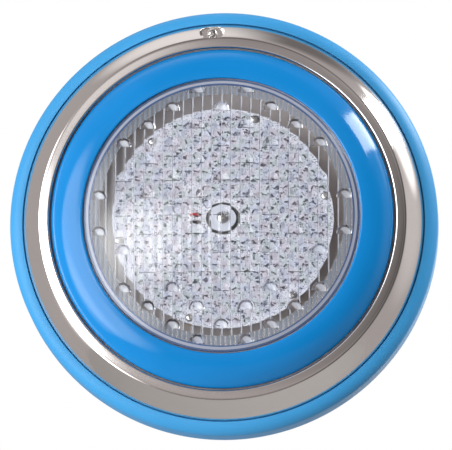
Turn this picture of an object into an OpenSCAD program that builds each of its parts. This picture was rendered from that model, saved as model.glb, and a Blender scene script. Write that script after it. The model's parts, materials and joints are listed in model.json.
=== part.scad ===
// Underwater pool light for a wall: a round lamp unit that hooks onto a wall base.
// The wall is the plane y = 0 and the lamp faces -Y, with +Z up.
// The origin is the centre of the wall screw circle, on the wall.
// Sizes are in millimetres. Each part is drawn lying down, with its own +Z pointing
// out of the wall and its own +Y pointing up, and facing() then stands it on the wall.

/* [Wall base] */
// Outer radius of the wall base, which is the widest part
base_r = 145; // [120:1:180]
// Depth of the wall base, from the wall to its front edge
base_depth = 28; // [22:0.5:36]
// Thickness of the wall base's side
base_wall = 3; // [2:0.1:4]
// Thickness of the plate that lies on the wall
base_floor = 3.5; // [2.5:0.1:5]
// Radius of the round front edge of the wall base
base_round = 8.8; // [6:0.1:11]
// Radius of the opening behind the lamp, for the cable
cable_opening_r = 85; // [60:1:95]
// Thickness of the shelf that the trim ring lies on
shelf_t = 3; // [2:0.1:4]
// Width of that shelf, inwards from the round edge
shelf_w = 12.2; // [8:0.1:14]
// How far the shelf lies below the front edge
seat_step = 1.1; // [0.6:0.1:2]

/* [Wall screws] */
// Number of wall screws
wall_screws = 4; // [3:1:8]
// Radius of the circle that they stand on
wall_screw_circle_r = 115; // [100:1:125]
// Radius of a wall screw's hole
wall_screw_hole_r = 2.75; // [2:0.05:3.5]
// Radius of the pad round each hole
wall_pad_r = 7; // [5:0.5:9]
// Height of that pad above the plate
wall_pad_h = 1.5; // [0.5:0.1:3]

/* [Trim ring] */
// Thickness of the steel
ring_t = 1.2; // [0.8:0.1:1.6]
// Width of the sloping outer band, measured flat
outer_band_w = 11.7; // [9:0.1:15]
// Width of the flat inner band
inner_band_w = 6.8; // [5:0.1:9]
// Height of the crease between the bands above the ring's seat
ring_h = 17.3; // [14:0.1:22]
// How far the outer band bulges from a straight cone
outer_band_bulge = 1.0; // [0.5:0.1:1.8]
// Rise of the inner band from the crease to the rolled rim
inner_band_rise = 0.5; // [0:0.1:1]
// Depth of the rolled inner rim
rim_depth = 6; // [5:0.1:7.5]

/* [Bezel and lens] */
// Flat width of the bezel, from its outer edge to the lens opening
bezel_w = 21.8; // [16:0.1:26]
// Height that the bezel rises from its outer edge to the lens
bezel_rise = 13.6; // [9:0.1:17]
// How far the bezel bulges from a straight cone
bezel_bulge = 3.2; // [1.5:0.1:4.5]
// Thickness of the bezel's wall
bezel_t = 3; // [2:0.1:3.6]
// Gap between the trim ring's rim and the bezel
rim_gap = 1.4; // [0.8:0.1:2]
// Thickness of the lens
lens_t = 2.6; // [2:0.1:3.5]
// Thickness of the lens's clamped flange
lens_flange_t = 3; // [2:0.1:4]
// Width of the bevelled band round the lens
lens_bevel_w = 4; // [2.5:0.1:5]
// Width of the finely ribbed border inside that band
lens_border_w = 6.8; // [4:0.1:9]
// Height of the lens's crown above its border
lens_crown_h = 6; // [4:0.1:10]
// Thickness of the gasket under the lens
gasket_t = 2; // [1:0.1:3]

/* [Lamp housing] */
// Depth of the housing behind its flange
shell_depth = 18; // [14:0.5:21]
// Thickness of the housing's wall and floor
shell_wall = 3; // [2:0.1:3.4]
// Width of the flange that the bezel stands on, outwards from inside the wall
flange_w = 26.6; // [23.6:0.1:27.6]
// Thickness of that flange
flange_t = 3; // [2.5:0.1:4]
// Number of screws that hold the bezel
bezel_screws_n = 12; // [6:1:16]
// Number of welded tabs that hold the trim ring
ring_tabs_n = 4; // [3:1:6]

/* [LED board] */
// Gap between the LED board's edge and the housing's wall
board_margin = 22.4; // [18:0.1:30]
// Thickness of the board
board_t = 1.6; // [1:0.1:2.4]
// Thickness of the aluminium heat spreader under it
spreader_t = 2; // [1:0.1:3]
// Distance between neighbouring LEDs
led_pitch = 6.1; // [6:0.1:9]
// Radius of an LED's dome
led_r = 2.5; // [1.5:0.1:2.5]
// Height of an LED above the board
led_h = 6.4; // [4:0.1:8]
// Radius of the hole in the middle of the board
board_hole_r = 11; // [9:0.1:14]
// Number of spacers under the board
spacers_n = 6; // [3:1:8]

/* [Driver board] */
// Width of the driver board
driver_w = 96; // [84:1:110]
// Height of the driver board
driver_h = 52; // [48:1:58]
// Height of the standoffs under the driver board
standoff_h = 4; // [3:0.1:5]

/* [Cable gland] */
// Radius of the hole that the cable passes through
cable_r = 4; // [3:0.1:4.5]
// Radius of the gland's thread
gland_thread_r = 8; // [7.5:0.1:9.5]
// Height of the gland's centre below the lamp's centre
gland_drop = 52; // [48:1:56]
// Distance across the flats of the gland's nuts
gland_flats = 22; // [20:0.5:26]
// Length of the gland's nut behind the housing
gland_nut_l = 9; // [7:0.1:10]

/* [Pilot screw] */
// Sideways place of the pilot screw, from the middle of the top
pilot_x = -7.2; // [-14:0.1:14]
// Radius of the pilot screw's shank
pilot_r = 2; // [1.5:0.1:2.2]
// Radius of the pilot screw's head
pilot_head_r = 3.3; // [3:0.1:3.6]
// Height of the pilot screw's head
pilot_head_h = 2.4; // [1.8:0.1:3]
// Length of shank in the threaded insert
pilot_grip = 6; // [4:0.1:6.5]
// Length of the pressed pocket round the screw, inside its wall
pocket_l = 14.6; // [10:0.1:18]

/* [Hook] */
// Width of the steel hook at the bottom
hook_w = 36; // [24:1:50]
// Thickness of the hook's steel
hook_t = 1.5; // [1:0.1:2]
// How far the hook reaches behind the shelf's back
hook_catch = 3.3; // [2.5:0.1:4]

/* [Hidden] */

$fn = 96;
CURVE_STEPS = 10;
// Clearance between pieces that move past each other
CLEAR = 0.3;
// Radial clearance of a shaft in its hole
RUNNING = 0.1;
// Radial clearance of a screw in its thread
THREAD = 0.05;
// Overlap of a cutting shape with what it cuts
CUT = 1;

// Radii of the lamp unit, from the outside inwards
ring_edge_gap = 0.9;
ring_r = base_r - base_round - ring_edge_gap;
crease_r = ring_r - outer_band_w;
rim_r = crease_r - inner_band_w;
bezel_r = rim_r - rim_gap;
lens_open_r = bezel_r - bezel_w;
lens_edge_gap = 0.8;
lens_r = lens_open_r - lens_edge_gap;
lens_flange_w = 10.2;
lens_flange_r = lens_r + lens_flange_w;
shell_gap = 4.4;
shell_in_r = lens_r + shell_gap;
shell_r = shell_in_r + shell_wall;
flange_r = shell_in_r + flange_w;
board_r = shell_in_r - board_margin;

// Depths of the lamp unit, from the wall outwards
shelf_d = base_depth - seat_step;
seat_d = shelf_d + CLEAR;
crease_d = seat_d + ring_h;
rim_d = crease_d + inner_band_rise;
flange_top_d = rim_d - rim_depth;
flange_d = flange_top_d - flange_t;
shell_back_d = flange_d - shell_depth;
shell_floor_d = shell_back_d + shell_wall;
bezel_edge_drop = 0.3;
bezel_edge_d = crease_d - bezel_edge_drop;
bezel_top_d = bezel_edge_d + bezel_rise;
clamp_lip_t = 3.8;
lens_flange_top_d = bezel_top_d - clamp_lip_t;
lens_flange_d = lens_flange_top_d - lens_flange_t;
gasket_d = lens_flange_d - gasket_t;
gasket_seat_t = 3;
lens_edge_drop = 0.8;
lens_edge_d = bezel_top_d - lens_edge_drop;
lens_bevel_h = 2;
lens_bevel_top_d = lens_edge_d + lens_bevel_h;
lens_border_h = 1.6;
lens_border_top_d = lens_bevel_top_d + lens_border_h;
lens_border_r = lens_r - lens_bevel_w;
lens_face_r = lens_border_r - lens_border_w;
board_drop = 6.5;
board_top_d = gasket_d - board_drop;
board_d = board_top_d - board_t;
spreader_d = board_d - spreader_t;

// Screws that hold plastic parts
small_screw_r = 1.5;
small_head_r = 2.8;
small_head_h = 1.8;
small_hole_r = 1.8;

// Pilot screw, its insert and its post
pilot_inset = 6.6;
pilot_circle_r = ring_r - pilot_inset;
pilot_z = sqrt(pilot_circle_r * pilot_circle_r - pilot_x * pilot_x);
insert_r = 3.6;
insert_l = 9;
post_r = 6.4;
pocket_seat_h = 4.4;
pocket_seat_d = seat_d + pocket_seat_h;
washer_t = 0.8;
washer_rim = 0.3;
washer_r = pilot_head_r + washer_rim;
pocket_w = 2 * (washer_r + CLEAR);
head_d = pocket_seat_d + washer_t;
pilot_tip_l = 1.6;

// Hook at the bottom, and the line that the lamp unit rocks on
pivot_r = ring_r;
hook_inset = 8.8;
hook_r = ring_r - hook_inset;
hook_tail_d = shelf_d - shelf_t - hook_catch + hook_t;
notch_inset = 1.8;
notch_r = ring_r - notch_inset;
notch_gap = 2;
hook_screw_x = 10;
tab_w = 14;
tab_t = 1.2;

// Driver board levels, and the gland's lengths
driver_d = shell_floor_d + standoff_h;
driver_t = 1.6;
driver_top_d = driver_d + driver_t;
driver_up = 6;
driver_post_inset = 5;
gland_flange_t = 3;
locknut_t = 4;
gland_washer_t = 1.5;
gland_seal_wall = 2;

// Leads from the driver board up through the middle of the LED board
lead_r = 0.9;
lead_sides = 8;
lead_x = -17;
lead_up = 2.6;
lead_bend = 4.4;
lead_hole_r = 1.6;

// A parabola from p to q that stands off the straight line by sag, on its left
function bow(p, q, sag, n = CURVE_STEPS) =
  let (run = q - p, side = [-run[1], run[0]] / norm(run))
  [for (i = [0 : n]) let (t = i / n) p + run * t + side * 4 * sag * t * (1 - t)];

// The points of a list in the opposite order
function backwards(points) = [for (i = [len(points) - 1 : -1 : 0]) points[i]];

// The points of a list with every one moved by step
function shifted(points, step) = [for (p = points) p + step];

// Stands a part that is drawn lying down on the wall
module facing() {
  rotate([90, 0, 0]) children();
}

// Copies of a child on a circle
module around(n, r, first = 0) {
  for (i = [0 : n - 1]) {
    rotate([0, 0, first + i * 360 / n]) translate([r, 0, 0]) children();
  }
}

// A round bar or hole from depth d, of length l
module bar(r, l, d = 0) {
  translate([0, 0, d]) cylinder(r = r, h = l);
}

// A ring between two radii, from depth d
module band(r_out, r_in, l, d = 0) {
  translate([0, 0, d]) linear_extrude(l) difference() {
    circle(r_out);
    circle(r_in);
  }
}

// A slot with round ends, centred, lying along x
module slot_shape(l, w) {
  square([l - w, w], center = true);
  for (side = [-1, 1]) translate([side * (l - w) / 2, 0]) circle(w / 2);
}

// A hexagonal prism by its distance across flats
module hex(flats, l, d = 0) {
  translate([0, 0, d]) cylinder(r = flats / sqrt(3), h = l, $fn = 6);
}

// A pan-head screw whose head rests at depth 0 and whose shank points along -Z
module screw(shank_r, shank_l, head_r, head_h, drive = 1) {
  difference() {
    union() {
      bar(shank_r, shank_l, -shank_l);
      bar(head_r, head_h);
    }
    for (turn = [0, 90]) rotate([0, 0, turn])
      translate([-head_r * 0.62, -drive / 2, head_h * 0.5])
        cube([head_r * 1.24, drive, head_h]);
  }
}

/* Wall base */

module base_profile() {
  round_r = base_r - base_round;
  round_d = base_depth - base_round;
  in_r = base_round - base_wall;
  outer = [for (a = [0 : 9 : 90]) [round_r + base_round * cos(a), round_d + base_round * sin(a)]];
  inner = [for (a = [90 : -9 : 0]) [round_r + in_r * cos(a),
    min(round_d + in_r * sin(a), shelf_d - shelf_t)]];
  polygon(concat(
    [[cable_opening_r, 0], [base_r, 0]],
    outer,
    [[round_r, shelf_d], [round_r - shelf_w, shelf_d], [round_r - shelf_w, shelf_d - shelf_t]],
    inner,
    [[base_r - base_wall, base_floor], [cable_opening_r, base_floor]]
  ));
}

module wall_base() {
  color("deepskyblue") facing() difference() {
    union() {
      rotate_extrude($fn = 180) base_profile();
      around(wall_screws, wall_screw_circle_r, 45) bar(wall_pad_r, wall_pad_h + CUT, base_floor - CUT);
      translate([pilot_x, pilot_z]) bar(post_r, shelf_d - shelf_t / 2 - 1);
    }
    around(wall_screws, wall_screw_circle_r, 45)
      bar(wall_screw_hole_r, base_floor + wall_pad_h + 2 * CUT, -CUT);
    translate([pilot_x, pilot_z]) bar(insert_r, insert_l + CUT, shelf_d - insert_l);
    hook_notch();
  }
}

// The gap in the shelf that the hook passes through
module hook_notch() {
  w = hook_w + 2 * notch_gap;
  translate([-w / 2, -notch_r, shelf_d - shelf_t - CUT]) cube([w, 20, shelf_t + 2 * CUT]);
}

module pilot_insert() {
  color("gold") facing() translate([pilot_x, pilot_z]) difference() {
    bar(insert_r, insert_l, shelf_d - insert_l);
    bar(pilot_r + RUNNING, insert_l, shelf_d - insert_l + CUT);
  }
}

/* Lamp housing */

module shell_profile() {
  back_chamfer = 4;
  floor_chamfer = 3;
  seat_cone_h = 2.4;
  seat_d = gasket_d - gasket_seat_t;
  polygon([
    [0, shell_back_d], [shell_r - back_chamfer, shell_back_d], [shell_r, shell_back_d + back_chamfer],
    [shell_r, flange_d], [flange_r, flange_d], [flange_r, flange_top_d], [shell_r, flange_top_d],
    [shell_r, seat_d - seat_cone_h], [lens_flange_r, seat_d],
    [lens_flange_r, gasket_d], [shell_in_r, gasket_d],
    [shell_in_r, shell_floor_d + floor_chamfer], [shell_in_r - floor_chamfer, shell_floor_d],
    [0, shell_floor_d]
  ]);
}

// Height and radius of the housing's middle post, which the bush stands on
centre_post_r = 5;
centre_post_top_d = spreader_d - 1;
bezel_screw_circle_r = bezel_r - bezel_t - 4.6;
tab_screw_circle_r = flange_r - 3;
tab_first_angle = 30;
bezel_first_angle = 15;

module rear_shell() {
  color("dimgray") facing() difference() {
    union() {
      rotate_extrude($fn = 180) shell_profile();
      bar(centre_post_r, centre_post_top_d - shell_floor_d + CUT, shell_floor_d - CUT);
    }
    bar(small_screw_r + THREAD, 9, centre_post_top_d - 8);
    around(bezel_screws_n, bezel_screw_circle_r, bezel_first_angle)
      bar(small_hole_r, flange_t + 2 * CUT, flange_d - CUT);
    around(ring_tabs_n, tab_screw_circle_r, tab_first_angle)
      bar(small_screw_r + THREAD, flange_t + 2 * CUT, flange_d - CUT);
    for (side = [-1, 1]) translate([side * hook_screw_x, -tab_screw_circle_r])
      bar(small_screw_r + THREAD, flange_t + 2 * CUT, flange_d - CUT);
    translate([0, -gland_drop]) bar(gland_thread_r + RUNNING, shell_wall + 2 * CUT, shell_back_d - CUT);
    translate([pilot_x, pilot_z, flange_d - CUT]) linear_extrude(flange_t + 2 * CUT)
      slot_shape(pocket_l + 2 * (ring_t + CLEAR), pocket_w + 2 * (ring_t + CLEAR));
  }
}

/* Trim ring */

// Outside of the sloping band, from its seat to the crease
band_low = [ring_r, seat_d + ring_t];
band_high = [crease_r, crease_d];
band_run = band_high - band_low;
band_inwards = [-band_run[1], band_run[0]] / norm(band_run);
outer_band = bow(band_low, band_high, -outer_band_bulge);
inner_face = shifted(outer_band, band_inwards * ring_t);

module ring_profile() {
  rim_round = 0.9;
  polygon(concat(
    [[ring_r, seat_d]],
    outer_band,
    [[rim_r + rim_round, rim_d], [rim_r + 0.25, rim_d - 0.25], [rim_r, rim_d - rim_round]],
    [[rim_r, flange_top_d], [rim_r + ring_t, flange_top_d], [rim_r + ring_t, rim_d - ring_t]],
    [[crease_r - ring_t / 2, crease_d - ring_t]],
    [for (i = [CURVE_STEPS - 1 : -1 : 1]) inner_face[i]],
    [[ring_r - 2, seat_d]]
  ));
}

// All that lies under the outside of the trim ring
module under_ring_profile() {
  polygon(concat([[0, seat_d], [ring_r, seat_d]], outer_band, [[0, crease_d]]));
}

// All that lies inside the trim ring's own thickness
module inside_ring_profile() {
  polygon(concat([[0, seat_d], [ring_r - 2, seat_d]],
    [for (i = [1 : CURVE_STEPS - 1]) inner_face[i]], [[0, crease_d - ring_t]]));
}

module pocket_walls() {
  intersection() {
    translate([pilot_x, pilot_z, pocket_seat_d - ring_t]) difference() {
      linear_extrude(base_depth) slot_shape(pocket_l + 2 * ring_t, pocket_w + 2 * ring_t);
      translate([0, 0, ring_t]) linear_extrude(base_depth) slot_shape(pocket_l, pocket_w);
    }
    rotate_extrude($fn = 180) under_ring_profile();
  }
}

module trim_ring() {
  color("silver") facing() difference() {
    union() {
      difference() {
        rotate_extrude($fn = 180) ring_profile();
        translate([pilot_x, pilot_z, pocket_seat_d - ring_t])
          linear_extrude(base_depth) slot_shape(pocket_l + ring_t, pocket_w + ring_t);
      }
      pocket_walls();
    }
    translate([pilot_x, pilot_z]) bar(pilot_r + CLEAR, base_depth, seat_d - CUT);
  }
}

module ring_tabs() {
  color("gainsboro") facing() intersection() {
    around(ring_tabs_n, tab_screw_circle_r, tab_first_angle) difference() {
      translate([-4, -tab_w / 2, flange_d - tab_t]) cube([20, tab_w, tab_t]);
      bar(small_hole_r, tab_t + 2 * CUT, flange_d - tab_t - CUT);
    }
    rotate_extrude($fn = 180) inside_ring_profile();
  }
}

module tab_screws() {
  color("silver") facing() around(ring_tabs_n, tab_screw_circle_r, tab_first_angle)
    translate([0, 0, flange_d - tab_t]) mirror([0, 0, 1])
      screw(small_screw_r, flange_t + tab_t, small_head_r, small_head_h);
}

/* Hook at the bottom of the lamp unit */

module hook_plate() {
  tail_end_r = pivot_r + 1.5;
  foot_in_r = tab_screw_circle_r - 5;
  color("gainsboro") facing() difference() {
    translate([hook_w / 2, 0, 0]) rotate([0, -90, 0]) linear_extrude(hook_w) polygon([
      [flange_d, -foot_in_r], [flange_d, -hook_r],
      [hook_tail_d, -hook_r], [hook_tail_d, -tail_end_r], [hook_tail_d - hook_t, -tail_end_r],
      [hook_tail_d - hook_t, -hook_r + hook_t], [flange_d - hook_t, -hook_r + hook_t],
      [flange_d - hook_t, -foot_in_r]
    ]);
    for (side = [-1, 1]) translate([side * hook_screw_x, -tab_screw_circle_r])
      bar(small_hole_r, hook_t + 2 * CUT, flange_d - hook_t - CUT);
  }
}

module hook_screws() {
  color("silver") facing() for (side = [-1, 1])
    translate([side * hook_screw_x, -tab_screw_circle_r, flange_d - hook_t]) mirror([0, 0, 1])
      screw(small_screw_r, flange_t + hook_t, small_head_r, small_head_h);
}

/* Bezel */

bezel_out = bow([bezel_r, bezel_edge_d], [lens_open_r + 0.9, bezel_top_d], -bezel_bulge);
bezel_run = bezel_out[CURVE_STEPS] - bezel_out[0];
bezel_inwards = [-bezel_run[1], bezel_run[0]] / norm(bezel_run);
bezel_in = shifted(bezel_out, bezel_inwards * bezel_t);

module bezel_profile() {
  skirt_in_r = bezel_r - bezel_t;
  pocket_r = lens_flange_r + CLEAR;
  polygon(concat(
    [[skirt_in_r, flange_top_d], [bezel_r, flange_top_d]],
    bezel_out,
    [[lens_open_r + 0.25, bezel_top_d - 0.3], [lens_open_r, bezel_top_d - 1]],
    [[lens_open_r, lens_flange_top_d], [pocket_r, lens_flange_top_d]],
    [for (i = [CURVE_STEPS - 1 : -1 : 1]) if (bezel_in[i][0] > pocket_r + 0.3
      && bezel_in[i][0] < skirt_in_r) bezel_in[i]]
  ));
}

// All that lies under the bezel's outside, at half its wall
module under_bezel_profile() {
  mid = shifted(bezel_out, bezel_inwards * bezel_t / 2);
  polygon(concat([[0, flange_top_d], [bezel_r - bezel_t / 2, flange_top_d]], mid,
    [[0, bezel_top_d - bezel_t]]));
}

boss_r = 3.6;

module bezel_ring() {
  color("dodgerblue") facing() difference() {
    union() {
      rotate_extrude($fn = 180) bezel_profile();
      intersection() {
        around(bezel_screws_n, bezel_screw_circle_r, bezel_first_angle)
          bar(boss_r, bezel_rise + rim_depth, flange_top_d);
        rotate_extrude($fn = 180) under_bezel_profile();
      }
    }
    around(bezel_screws_n, bezel_screw_circle_r, bezel_first_angle)
      bar(small_screw_r + THREAD, 7, flange_top_d - CUT);
  }
}

module bezel_screws() {
  color("silver") facing() around(bezel_screws_n, bezel_screw_circle_r, bezel_first_angle)
    translate([0, 0, flange_d]) mirror([0, 0, 1])
      screw(small_screw_r, flange_t + 5, small_head_r, small_head_h);
}

/* Lens and its gasket */

// The face's height at a radius: a shallow dome, level at the crown
function dome_d(r) = lens_border_top_d + lens_crown_h * (1 - pow(r / lens_face_r, 2));

module lens_profile() {
  face = [for (i = [0 : CURVE_STEPS]) let (r = lens_face_r * (1 - i / CURVE_STEPS)) [r, dome_d(r)]];
  polygon(concat(
    [[lens_r - lens_t, lens_flange_d], [lens_flange_r, lens_flange_d]],
    [[lens_flange_r, lens_flange_top_d], [lens_r, lens_flange_top_d], [lens_r, lens_edge_d]],
    [[lens_border_r, lens_bevel_top_d]],
    face,
    shifted(backwards(face), [0, -lens_t]),
    [[lens_border_r - lens_t / 2, lens_bevel_top_d - lens_t]],
    [[lens_r - lens_t, lens_edge_d - lens_t / 2]]
  ));
}

module lens() {
  color("lightcyan", 0.4) facing() rotate_extrude($fn = 180) lens_profile();
}

module lens_gasket() {
  color("black") facing() band(lens_flange_r - 0.8, shell_in_r + 0.8, gasket_t, gasket_d);
}

/* LED board */

spacer_r = 3;
spacer_circle_r = board_r - 4;
spacer_first_angle = 12;
row_pitch = led_pitch * sqrt(3) / 2;
led_rows = floor(board_r / row_pitch);
led_columns = floor(board_r / led_pitch);
led_edge = 0.9;
chip_at = [-21.4, 17.9];

function led_place(i, j) = [(i + (abs(j) % 2) / 2) * led_pitch, j * row_pitch];

// True where a spacer's screw, the leads or the small chip leave no room
function near_spacer(p) = min([for (k = [0 : spacers_n - 1])
  let (a = spacer_first_angle + k * 360 / spacers_n)
    norm(p - spacer_circle_r * [cos(a), sin(a)])]) < led_r + spacer_r + 0.4;
function near_leads(p) = abs(p[0] - lead_x + lead_bend / 2) < lead_bend / 2 + led_r + 1.2
  && abs(p[1]) < lead_up + led_r + 1.2;
function near_chip(p) = norm(p - chip_at) < led_r + 2.4;
function led_fits(p) = norm(p) < board_r - led_r - led_edge && norm(p) > board_hole_r + led_r + 1.4
  && !near_spacer(p) && !near_leads(p) && !near_chip(p);

module led() {
  rotate_extrude($fn = 24) union() {
    square([led_r + 0.3, 1]);
    square([led_r, led_h - led_r]);
    translate([0, led_h - led_r]) intersection() {
      circle(led_r, $fn = 24);
      square([led_r, led_r]);
    }
  }
}

// Every third LED, starting from the colour's own number
module leds(colour_number) {
  facing() translate([0, 0, board_top_d])
    for (j = [-led_rows : led_rows], i = [-led_columns : led_columns])
      let (p = led_place(i, j))
        if (led_fits(p) && (i + 2 * abs(j) + 300) % 3 == colour_number) translate(p) led();
}

module red_leds() {
  color("mistyrose") leds(0);
}

module green_leds() {
  color("honeydew") leds(1);
}

module blue_leds() {
  color("lavender") leds(2);
}

module board_resistors() {
  color("black") facing() translate([0, 0, board_top_d]) {
    translate([chip_at[0] - 0.9, chip_at[1] - 1.4]) cube([1.8, 2.8, 1.2]);
    for (x = [-2, 1.4]) translate([chip_at[0] + x, chip_at[1] - 0.5]) cube([0.6, 1, 0.5]);
  }
}

module board_disc(r, t, d) {
  difference() {
    bar(r, t, d);
    bar(board_hole_r, t + 2 * CUT, d - CUT);
    around(spacers_n, spacer_circle_r, spacer_first_angle)
      bar(small_hole_r, t + 2 * CUT, d - CUT);
    for (side = [-1, 1]) translate([lead_x, side * lead_up]) bar(lead_hole_r, t + 2 * CUT, d - CUT);
  }
}

module led_board() {
  color("white") facing() board_disc(board_r, board_t, board_d);
}

module heat_spreader() {
  color("lightgray") facing() board_disc(board_r - 0.6, spreader_t, spreader_d);
}

module board_spacers() {
  color("gold") facing() around(spacers_n, spacer_circle_r, spacer_first_angle) difference() {
    hex(2 * spacer_r, spreader_d - shell_floor_d, shell_floor_d);
    bar(small_screw_r + THREAD, 7, spreader_d - 6);
  }
}

module board_screws() {
  color("silver") facing() around(spacers_n, spacer_circle_r, spacer_first_angle)
    translate([0, 0, board_top_d])
      screw(small_screw_r, board_t + spreader_t + 5, small_head_r, small_head_h);
}

grommet_wall = 1.3;
bush_gap = 0.5;
bush_r = board_hole_r - grommet_wall - bush_gap;
bush_t = 1.6;

module centre_grommet() {
  lip = 0.9;
  in_r = board_hole_r - grommet_wall;
  color("black") facing() {
    difference() {
      union() {
        bar(board_hole_r, board_t + spreader_t, spreader_d);
        bar(board_hole_r + lip, lip, board_top_d);
      }
      bar(in_r, base_depth, spreader_d - CUT);
    }
  }
}

module centre_bush() {
  color("gray") facing() difference() {
    union() {
      bar(bush_r, bush_t, board_top_d);
      bar(centre_post_r, board_top_d - centre_post_top_d + CUT, centre_post_top_d);
    }
    bar(small_hole_r, base_depth, centre_post_top_d - CUT);
  }
}

module centre_screw() {
  color("silver") facing() translate([0, 0, board_top_d + bush_t])
    screw(small_screw_r, board_top_d + bush_t - centre_post_top_d + 6, 4, 2.2, 1.2);
}

/* Driver board and what is on it */

driver_posts = [for (sx = [-1, 1], sz = [-1, 1])
  [sx * (driver_w / 2 - driver_post_inset), driver_up + sz * (driver_h / 2 - driver_post_inset)]];

module at_driver_posts() {
  for (p = driver_posts) translate(p) children();
}

module driver_board() {
  color("darkgreen") facing() difference() {
    translate([-driver_w / 2, driver_up - driver_h / 2, driver_d]) cube([driver_w, driver_h, driver_t]);
    at_driver_posts() bar(small_hole_r, driver_t + 2 * CUT, driver_d - CUT);
    bar(centre_post_r + 3, driver_t + 2 * CUT, driver_d - CUT);
  }
}

module driver_standoffs() {
  color("gold") facing() at_driver_posts() difference() {
    bar(3, standoff_h, shell_floor_d);
    bar(small_screw_r + THREAD, standoff_h, shell_floor_d + CUT);
  }
}

module driver_screws() {
  color("silver") facing() at_driver_posts() translate([0, 0, driver_top_d])
    screw(small_screw_r, driver_t + standoff_h - 2, small_head_r, small_head_h);
}

module on_driver(x, up) {
  facing() translate([x, driver_up + up, driver_top_d]) children();
}

module rectifier() {
  color("black") on_driver(-26, -14) cube([9, 7, 3]);
}

module capacitors() {
  color("darkslategray") for (up = [2, 12]) on_driver(-26, up) rotate([0, 90, 0])
    translate([-4, 0, 0]) cylinder(r = 4, h = 11);
}

module inductor() {
  color("saddlebrown") on_driver(20, 12) difference() {
    bar(6, 5);
    bar(2, 5 + 2 * CUT, -CUT);
  }
}

module controller_chip() {
  color("black") on_driver(14, -14) cube([10, 6, 1.8]);
}

module power_transistors() {
  color("black") for (i = [0 : 2]) on_driver(-12 + i * 7.5, 15) cube([6, 6, 2.4]);
}

module terminal_block() {
  color("limegreen") on_driver(-9, -22) difference() {
    cube([15, 8, 6]);
    for (i = [0 : 2]) translate([2.5 + i * 5, 4, 3]) bar(1.3, 4);
  }
}

// A round tube along points, closed at both ends
module tube(points, r) {
  n = len(points);
  rings = [for (i = [0 : n - 1])
    let (
      ahead = points[min(i + 1, n - 1)] - points[max(i - 1, 0)],
      along = ahead / norm(ahead),
      first = cross(along, [0.13, 0.97, 0.2]),
      u = first / norm(first),
      v = cross(along, u)
    )
    [for (k = [0 : lead_sides - 1])
      let (a = k * 360 / lead_sides) points[i] + r * (u * cos(a) + v * sin(a))]];
  flat_points = [for (one = rings) for (p = one) p];
  sides = [for (i = [0 : n - 2], k = [0 : lead_sides - 1])
    let (a = i * lead_sides + k, b = i * lead_sides + (k + 1) % lead_sides)
      [a, b, b + lead_sides, a + lead_sides]];
  first_cap = [[for (k = [lead_sides - 1 : -1 : 0]) k]];
  last_cap = [[for (k = [0 : lead_sides - 1]) (n - 1) * lead_sides + k]];
  polyhedron(flat_points, concat(sides, first_cap, last_cap));
}

// A smooth line along a route, which leaves and reaches its ends straight
function between(a, b, c, t) = a * (1 - t) * (1 - t) + b * 2 * t * (1 - t) + c * t * t;
function halfway(route, k) = (route[k] + route[k + 1]) / 2;
function softened(route) = concat(
  [route[0]],
  [for (k = [1 : len(route) - 2], t = [0, 0.25, 0.5, 0.75])
    between(halfway(route, k - 1), route[k], halfway(route, k), t)],
  [halfway(route, len(route) - 2), route[len(route) - 1]]
);

// A lead from the terminal block, up through its hole and down onto its solder pad
module lead(start_x, side) {
  block_up = driver_up - 18;
  up = side * lead_up;
  route = [
    [start_x, block_up, driver_top_d + 3.2],
    [start_x, block_up, driver_top_d + 9.2],
    [lead_x, up, driver_top_d + 6],
    [lead_x, up, board_top_d + 3.2],
    [lead_x - lead_bend, up, board_top_d + 3],
    [lead_x - lead_bend, up, board_top_d]
  ];
  facing() tube(softened(route), lead_r);
}

module red_lead() {
  color("red") lead(-1.5, 1);
}

module black_lead() {
  color("black") lead(-6.5, -1);
}

/* Cable gland in the housing's floor */

gland_outer_d = shell_back_d - gland_washer_t - gland_flange_t;
seal_r = cable_r + gland_seal_wall;

module gland_body() {
  color("silver") facing() translate([0, -gland_drop]) difference() {
    union() {
      bar(gland_thread_r, shell_wall + gland_washer_t + locknut_t + 1, shell_back_d - gland_washer_t);
      hex(gland_flats, gland_flange_t, gland_outer_d);
      bar(gland_thread_r, gland_nut_l - 2, gland_outer_d - gland_nut_l + 2);
    }
    bar(seal_r, gland_nut_l + gland_flange_t + CUT, gland_outer_d - gland_nut_l + 1);
    bar(cable_r + 0.6, base_depth + shell_wall, gland_outer_d);
  }
}

module gland_sealing_washer() {
  color("black") facing() translate([0, -gland_drop])
    band(gland_thread_r + 2.2, gland_thread_r + RUNNING, gland_washer_t, shell_back_d - gland_washer_t);
}

module gland_locknut() {
  color("silver") facing() translate([0, -gland_drop]) difference() {
    hex(gland_flats, locknut_t, shell_floor_d);
    bar(gland_thread_r + THREAD, locknut_t + 2 * CUT, shell_floor_d - CUT);
  }
}

module gland_seal() {
  color("black") facing() translate([0, -gland_drop])
    band(seal_r - THREAD, cable_r, gland_nut_l, gland_outer_d - gland_nut_l + 2);
}

module gland_nut() {
  wall_d = gland_outer_d - gland_nut_l;
  color("silver") facing() translate([0, -gland_drop]) difference() {
    hex(gland_flats, gland_nut_l, wall_d);
    bar(gland_thread_r + THREAD, gland_nut_l, wall_d + 2);
    bar(cable_r + 0.6, gland_nut_l, wall_d - CUT);
  }
}

/* Pilot screw, which holds the lamp unit to the wall base */

module pilot_washer() {
  color("white") facing() translate([pilot_x, pilot_z])
    band(washer_r, pilot_r + CLEAR, washer_t, pocket_seat_d);
}

module pilot_screw() {
  shank_l = head_d - seat_d + pilot_grip;
  color("silver") facing() translate([pilot_x, pilot_z, head_d]) {
    screw(pilot_r, shank_l - pilot_tip_l, pilot_head_r, pilot_head_h, 1);
    translate([0, 0, -shank_l]) cylinder(r1 = pilot_r - 0.7, r2 = pilot_r, h = pilot_tip_l);
  }
}

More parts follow.
